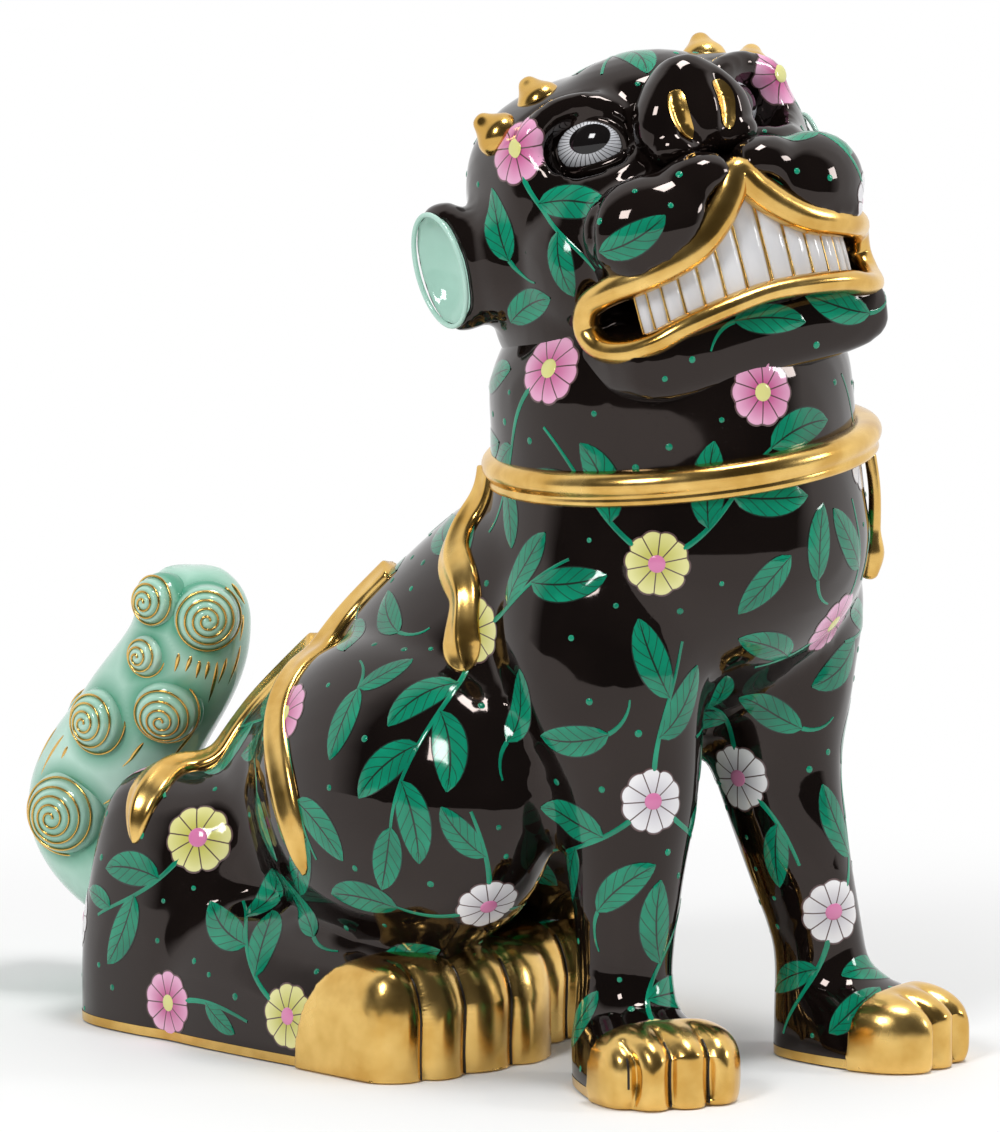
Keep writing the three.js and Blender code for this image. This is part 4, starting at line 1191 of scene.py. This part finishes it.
def paint_places(count):
    """Places spread evenly over the black skin, in a drawn order."""
    spots, areas = [], []
    for made in (body, head):
        number = len(made.data.polygons)
        centres, sizes = np.empty(number * 3), np.empty(number)
        made.data.polygons.foreach_get("center", centres)
        made.data.polygons.foreach_get("area", sizes)
        spots.append(centres.reshape(-1, 3))
        areas.append(sizes)
    spots, areas = np.concatenate(spots), np.concatenate(areas)
    drawn = brush.choice(len(spots), size=count, replace=False, p=areas / areas.sum())
    return [Vector(spots[i]) for i in drawn]


NOSE_MIDDLE = (0, -54, 44)
KEPT_CLEAR = [(NOSE_MIDDLE, 24)] + [(spot, 16) for spot, _ in HORNS.values()]
for side in (1, -1):
    KEPT_CLEAR += [((EYE[0] * side, *EYE[1:]), 24), ((EAR[0] * side, *EAR[1:]), 31)]


def paintable(spot, normal):
    """Clear of the foot, eyes, nose, ears, horns and mouth, and not shut in a fold."""
    if spot.z < 5 or skin.hidden(spot, normal):
        return False
    for part in (head_skin, body_skin):
        place, up = part.near(spot)
        away = spot - place
        if away.length > 0.01 and (away.length < 6 or away.dot(up) < 0):
            return False
    h = INTO_HEAD @ spot
    if h.y < -5 and abs(h.x) < 63 and lip_z(h.x, LOWER_LIP) - 3 < h.z < lip_z(h.x, UPPER_LIP) + 4:
        return False
    return all((h - Vector(place)).length > reach for place, reach in KEPT_CLEAR)


class Ground:
    """What is painted already, so that no motif crosses another."""

    def __init__(self):
        self.spots = np.empty((0, 3))
        self.reach = np.empty(0)

    def take(self, spots, reach):
        self.spots = np.concatenate([self.spots, np.array(spots).reshape(-1, 3)])
        self.reach = np.concatenate([self.reach, np.full(len(spots), reach)])

    def free(self, spot, reach):
        away = np.linalg.norm(self.spots - np.array(spot), axis=1)
        return bool((away > self.reach + reach).all())


def new_coat():
    coat = bmesh.new()
    coat.loops.layers.uv.new("pattern")
    return coat


ground = Ground()
leaf_coat, stem_coat, dot_coat, yellow_hearts, pink_hearts = (new_coat() for _ in range(5))
rosette_coats = [new_coat(), new_coat(), new_coat()]


def stroke(spot, normal, ahead, length, bend, steps):
    """A brush stroke's middle line over the skin: spots with their normals and ways ahead."""
    line = [(spot, normal, ahead)]
    for i in range(steps):
        ahead = veer(ahead, bend(i / steps) / steps, normal)
        spot, normal, ahead = skin.walk(spot, normal, ahead, length / steps)
        line.append((spot, normal, ahead))
    return line


def lay(coat, line, half, lift, rows):
    """Enamel along a stroke: a flat strip with its own pattern map, pressed onto the skin."""
    steps = len(line) - 1
    made = bmesh.ops.create_grid(coat, x_segments=steps, y_segments=rows, size=1, calc_uvs=True)
    for v in made["verts"]:
        share, across = (v.co.x + 1) / 2, v.co.y
        spot, normal, ahead = line[round(share * steps)]
        place, up, _ = skin.walk(spot, normal, normal.cross(ahead), half(share) * across)
        v.co = place + up * (lift * (1 - across**2) + 0.1)


def leaf_half(share):
    return max(0.05, 2.05 * share**0.62 * (1 - share) ** 0.72)


def leaf(spot, normal, ahead, length, half, bend):
    """A pointed leaf, if there is room for it."""
    line = stroke(spot, normal, ahead, length, lambda share: bend, 12)
    for i in (4, 7, 10, 12):
        if not paintable(line[i][0], line[i][1]) or not ground.free(line[i][0], half * 0.55):
            return False
    lay(leaf_coat, line, lambda share: half * leaf_half(share), 0.3, 4)
    ground.take([at[0] for at in line[3:11:2]], half * 0.9)
    return True


def rosette(spot, normal, ahead, size, coat, heart_coat):
    """A round flower of even petals with a raised heart."""
    spin_round(coat, [(x, 0) for x in (0.0, 0.25, 0.45, 0.65, 0.85, 1.0)], steps=64)
    bmesh.ops.remove_doubles(coat, verts=[v for v in coat.verts if v.co.length < 1.01], dist=0.001)
    mine = [v for v in coat.verts if v.co.length < 1.01 and abs(v.co.z) < 1e-6]
    pattern = coat.loops.layers.uv["pattern"]
    flat = {v: v.co.copy() for v in mine}
    for face in {f for v in mine for f in v.link_faces}:
        for corner in face.loops:
            corner[pattern].uv = (flat[corner.vert].x / 2 + 0.5, flat[corner.vert].y / 2 + 0.5)
    side = normal.cross(ahead)
    for v, at in flat.items():
        out, bearing = at.length, math.atan2(at.y, at.x)
        scallop = 0.88 + 0.12 * abs(math.cos(bearing * PETALS / 2)) ** 0.5
        way = ahead * math.cos(bearing) + side * math.sin(bearing)
        place, up, _ = skin.walk(spot, normal, way, size * out * (1 + (scallop - 1) * out))
        v.co = place + up * (0.34 * (1 - out**4) + 0.12)
    heart = bmesh.ops.create_icosphere(heart_coat, subdivisions=3, radius=1)["verts"]
    shape = Matrix.Diagonal((size * 0.27, size * 0.27, 0.7, 1))
    bmesh.ops.transform(heart_coat, matrix=standing(spot + normal * 0.2, normal) @ shape, verts=heart)


places = [(spot, *skin.near(spot)) for spot in paint_places(PLACES_TRIED)]
places = [(spot, normal) for _, spot, normal in places if paintable(spot, normal)]


def any_way(normal):
    way = Vector(brush.normal(size=3))
    return (way - normal * way.dot(normal)).normalized()


flowers = []
for spot, normal in places:
    if all((spot - other).length > FLOWER_GAP for other, _, _ in flowers):
        flowers.append((spot, normal, any_way(normal)))
for number, (spot, normal, ahead) in enumerate(flowers):
    size = FLOWER_HALF + FLOWER_VARIES * brush.random()
    hearts = pink_hearts if number % 3 else yellow_hearts
    rosette(spot, normal, ahead, size, rosette_coats[number % 3], hearts)
    ground.take([spot], size + 1)
for spot, normal, ahead in flowers:
    first = brush.random() * 360
    for arm in range(STEM_ARMS):
        way = veer(ahead, first + 360 / STEM_ARMS * arm + brush.uniform(-18, 18), normal)
        start, up, way = skin.walk(spot, normal, way, 11.5)
        swing = brush.uniform(45, 95) * (1 if arm % 2 else -1)
        length = brush.uniform(52, 84)
        steps = int(length / STEM_STEP)
        line = stroke(start, up, way, length, lambda share: swing * math.cos(share * math.pi), steps)
        clear = 3
        while clear < steps and paintable(*line[clear][:2]) and ground.free(line[clear][0], 5):
            clear += 1
        line = line[: max(0, clear - 1)]
        if len(line) < 6:
            continue
        lay(stem_coat, line, lambda share: STEM_HALF * (1.15 - 0.5 * share), 0.22, 2)
        leaf(*line[-1], brush.uniform(27, 34), brush.uniform(7.8, 9.4), brush.uniform(-45, 45))
        for i in range(4, len(line) - 3, 5):
            at, at_up, at_way = line[i]
            hand = 1 if (i // 5 + arm) % 2 else -1
            side_way = veer(at_way, hand * brush.uniform(42, 62), at_up)
            for length in (33, 26, 20):
                if leaf(at, at_up, side_way, length, length * 0.27, -hand * brush.uniform(10, 45)):
                    break
        ground.take([at[0] for at in line[2:]], 2.0)
for spot, normal in places:
    if not ground.free(spot, 13):
        continue
    way = any_way(normal)
    if leaf(spot, normal, way, 30, 8, brush.uniform(-45, 45)):
        fork = veer(way, brush.uniform(75, 130), normal)
        leaf(spot, normal, fork, 24, 6.5, brush.uniform(-40, 40))
        tail = stroke(spot, normal, -way, 16, lambda share: 60, 6)
        if all(paintable(*at[:2]) and ground.free(at[0], 1.5) for at in tail[3:]):
            lay(stem_coat, tail, lambda share: STEM_HALF * (1 - 0.6 * share), 0.22, 2)
            ground.take([at[0] for at in tail[2:]], 2.0)
dots = 0
for spot, normal in places:
    if dots < DOTS and ground.free(spot, 4.5):
        bead = bmesh.ops.create_icosphere(dot_coat, subdivisions=2, radius=1)["verts"]
        wide = brush.uniform(1.0, 1.5)
        shape = Matrix.Diagonal((wide, wide, 0.35, 1))
        bmesh.ops.transform(dot_coat, matrix=standing(spot, normal) @ shape, verts=bead)
        ground.take([spot], 6)
        dots += 1


def coat_piece(name, coat):
    """Enamel stands on the skin, so its faces look away from it."""
    bmesh.ops.recalc_face_normals(coat, faces=coat.faces)
    for face in coat.faces:
        if face.normal.dot(skin.near(face.calc_center_median())[1]) < 0:
            face.normal_flip()
    return as_object(name, coat)


ENAMEL_GLOSS = (0.06, 0.13)
INK, PETAL_INK = (0.012, 0.02, 0.016), (0.10, 0.06, 0.06)
enamel_green, leaf_green = (
    finish(name, (0.002, 0.16, 0.09), (0.004, 0.27, 0.15), ENAMEL_GLOSS, 0.1, scales=(60, 200, 500))
    for name in ("enamel_green", "leaf_green")
)
painted(leaf_green, leaf_marks(), (0.003, 0.17, 0.09), INK)
enamel_pink = finish("enamel_pink", (0.58, 0.16, 0.34), (0.66, 0.24, 0.42), ENAMEL_GLOSS, 0.1)
enamel_yellow = finish("enamel_yellow", (0.62, 0.60, 0.20), (0.70, 0.68, 0.28), ENAMEL_GLOSS, 0.1)
petal_lines = petal_marks()
ROSETTES = {
    "pink": ((0.68, 0.30, 0.48), (0.76, 0.42, 0.60), (0.50, 0.10, 0.26)),
    "yellow": ((0.64, 0.62, 0.24), (0.72, 0.70, 0.32), (0.48, 0.46, 0.10)),
    "white": ((0.72, 0.71, 0.73), (0.82, 0.81, 0.82), (0.52, 0.50, 0.54)),
}
for made, (colour, (dark, light, deep)) in zip(rosette_coats, ROSETTES.items()):
    enamel = painted(finish(f"{colour}_petals", dark, light, ENAMEL_GLOSS, 0.1), petal_lines, deep, PETAL_INK)
    finished(coat_piece(f"{colour}_rosettes", made), enamel, "black_glaze")
finished(coat_piece("painted_leaves", leaf_coat), leaf_green, "black_glaze")
finished(coat_piece("painted_stems", stem_coat), enamel_green, "black_glaze")
finished(coat_piece("painted_dots", dot_coat), enamel_green, "black_glaze")
finished(coat_piece("yellow_hearts", yellow_hearts), enamel_yellow, "black_glaze")
finished(coat_piece("pink_hearts", pink_hearts), enamel_pink, "black_glaze")

PUPIL, PUPIL_WIDE, PUPIL_FLAT, EYE_LINES = (-2.6, 2.2), 8.0, 1.5, 40


def eye_finish(name, side):
    """White enamel with a black pupil and fine dark lines running out from it."""
    material = finish(name, (0.55, 0.56, 0.60), (0.74, 0.75, 0.77), (0.04, 0.08), 0.03)
    tree, socket, base = colour_feed(material)
    place = (LION @ HEAD @ eye_frame(side)).inverted()
    spot = wire(
        tree, "ShaderNodeMapping", Vector=wire(tree, "ShaderNodeTexCoord").outputs["Object"],
        Location=place.translation, Rotation=place.to_euler(), Scale=place.to_scale(),
    )
    axes = wire(tree, "ShaderNodeSeparateXYZ", Vector=spot.outputs["Vector"])
    x = reckon(tree, "SUBTRACT", axes.outputs["X"], PUPIL[0] * side)
    z = reckon(tree, "MULTIPLY", reckon(tree, "SUBTRACT", axes.outputs["Z"], PUPIL[1]), PUPIL_FLAT)
    away = from_middle(tree, x, z)
    spokes = reckon(tree, "MULTIPLY", reckon(tree, "ARCTAN2", z, x), EYE_LINES / (2 * math.pi))
    line = band(tree, reckon(tree, "PINGPONG", spokes, 0.5), 0.05, 0.12)
    ink = reckon(tree, "MAXIMUM", line, band(tree, away, PUPIL_WIDE, PUPIL_WIDE + 0.3))
    tree.links.new(mixed(tree, ink, base, (0.006, 0.005, 0.005, 1)), socket)
    return material


# Every piece in its finish
BODY_NODES = ("trunk", "right_haunch", "left_haunch", "left_foreleg", "right_foreleg")
finished(body, black_glaze, "black_glaze", *BODY_NODES)
finished(head, black_glaze, "black_glaze", "skull", "lower_jaw", "left_ear", "right_ear")
finished(nose, black_glaze, "black_glaze", "nose")
finished(nostrils, gilding, "gilding")
finished(lips, gilding, "gilding", "lip_moulding")
finished(teeth, tooth_glaze, "tooth_enamel", "teeth")
finished(tooth_lines, gilding, "gilding")
for eye, name, side in eyes:
    finished(eye, eye_finish(f"{name}_enamel", side), "eye_enamel", name)
finished(ear_rims, ear_glaze, "mint_glaze")
for lining in linings:
    finished(lining, ear_glaze, "mint_glaze")
finished(toe_lines, line_black, "black_glaze")
finished(foot_line, gilding, "gilding")
for made, name in horns + toe_rows + streamers:
    finished(made, gilding, "gilding", name)
finished(collar, gilding, "gilding", "collar")
finished(collar_drop, gilding, "gilding", "collar_drop")
finished(plume, mint_glaze, "mint_glaze", "tail_plume")
for curl, name in curls:
    finished(curl, mint_glaze, "mint_glaze", name)
finished(tail_lines, gilding, "gilding")

# Camera: the photograph's own angle
CAMERA_AWAY = 2.2
PHOTO_TALL, FOCAL_PIXELS, SENSOR = 1132, 5720, 36
camera = bpy.data.objects.new("camera", bpy.data.cameras.new("camera"))
bpy.context.scene.collection.objects.link(camera)
AIM = LION @ Vector((-66, 0, 195))
azimuth, elevation = math.radians(-44), math.radians(6)
towards = Vector(
    (math.sin(azimuth) * math.cos(elevation), -math.cos(azimuth) * math.cos(elevation), math.sin(elevation))
)
camera.location = AIM + towards * CAMERA_AWAY
camera.rotation_euler = towards.to_track_quat("Z", "Y").to_euler()
camera.data.lens = FOCAL_PIXELS / PHOTO_TALL * SENSOR
camera.data.sensor_width = SENSOR
camera.data.clip_end = 20
bpy.context.scene.camera = camera

# Studio: a white floor and surround, dark towards the camera, and soft lamps
bpy.context.scene.view_settings.view_transform = "Standard"
floor_clay = bmesh.new()
bmesh.ops.create_grid(floor_clay, x_segments=1, y_segments=1, size=3)
floor = piece("floor", floor_clay)
paper = bpy.data.materials.new("floor_paper")
paper.use_nodes = True
paper_tree = paper.node_tree
shader = paper_tree.nodes["Principled BSDF"]
shader.inputs["Base Color"].default_value = (0.9, 0.9, 0.9, 1)
shader.inputs["Roughness"].default_value = 0.7
spot = wire(paper_tree, "ShaderNodeTexCoord").outputs["Object"]
far = wire(paper_tree, "ShaderNodeVectorMath", {"operation": "LENGTH"}, i0=spot)
white = wire(
    paper_tree, "ShaderNodeMapRange", {"interpolation_type": "SMOOTHSTEP"}, Value=far.outputs["Value"],
    From_Min=0.2, From_Max=0.6,
)
glow = wire(paper_tree, "ShaderNodeEmission", Strength=1.0)
shaders = dict(i1=shader.outputs[0], i2=glow.outputs[0])
blend = wire(paper_tree, "ShaderNodeMixShader", i0=white.outputs["Result"], **shaders)
paper_tree.links.new(blend.outputs[0], paper_tree.nodes["Material Output"].inputs["Surface"])
floor.data.materials.append(paper)
world = bpy.data.worlds.new("surround")
bpy.context.scene.world = world
world.use_nodes = True
tree = world.node_tree
background = tree.nodes["Background"]
ray = wire(tree, "ShaderNodeLightPath")
way = wire(tree, "ShaderNodeTexCoord").outputs["Generated"]
facing = wire(tree, "ShaderNodeVectorMath", {"operation": "DOT_PRODUCT"}, i0=way, i1=tuple(towards))
room = band(tree, facing.outputs["Value"], 0.0, 0.25, 1.0, 0.06)
LIT = 0.55
mix_numbers = {"data_type": "FLOAT"}
seen = wire(tree, "ShaderNodeMix", mix_numbers, i0=ray.outputs["Is Glossy Ray"], i2=LIT, i3=room)
shown = wire(tree, "ShaderNodeMix", mix_numbers, i0=ray.outputs["Is Camera Ray"], i2=seen.outputs[0], i3=1.0)
tree.links.new(shown.outputs[0], background.inputs["Strength"])
background.inputs["Color"].default_value = (1, 1, 1, 1)


def lamp(name, place, aim, size, watts):
    made = bpy.data.objects.new(name, bpy.data.lights.new(name, "AREA"))
    bpy.context.scene.collection.objects.link(made)
    made.data.shape, made.data.size, made.data.size_y = "RECTANGLE", *size
    made.data.energy = watts
    made.location = Vector(place)
    made.rotation_euler = (Vector(place) - Vector(aim)).to_track_quat("Z", "Y").to_euler()


LAMP_AIM = (0, 0, 0.2)
lamp("left_softbox", (-1.7, -0.6, 1.3), LAMP_AIM, (0.45, 0.55), 18)
lamp("top_softbox", (0.1, -0.5, 1.9), LAMP_AIM, (0.45, 0.4), 14)
lamp("right_softbox", (1.2, -1.7, 1.0), LAMP_AIM, (0.3, 0.5), 8)
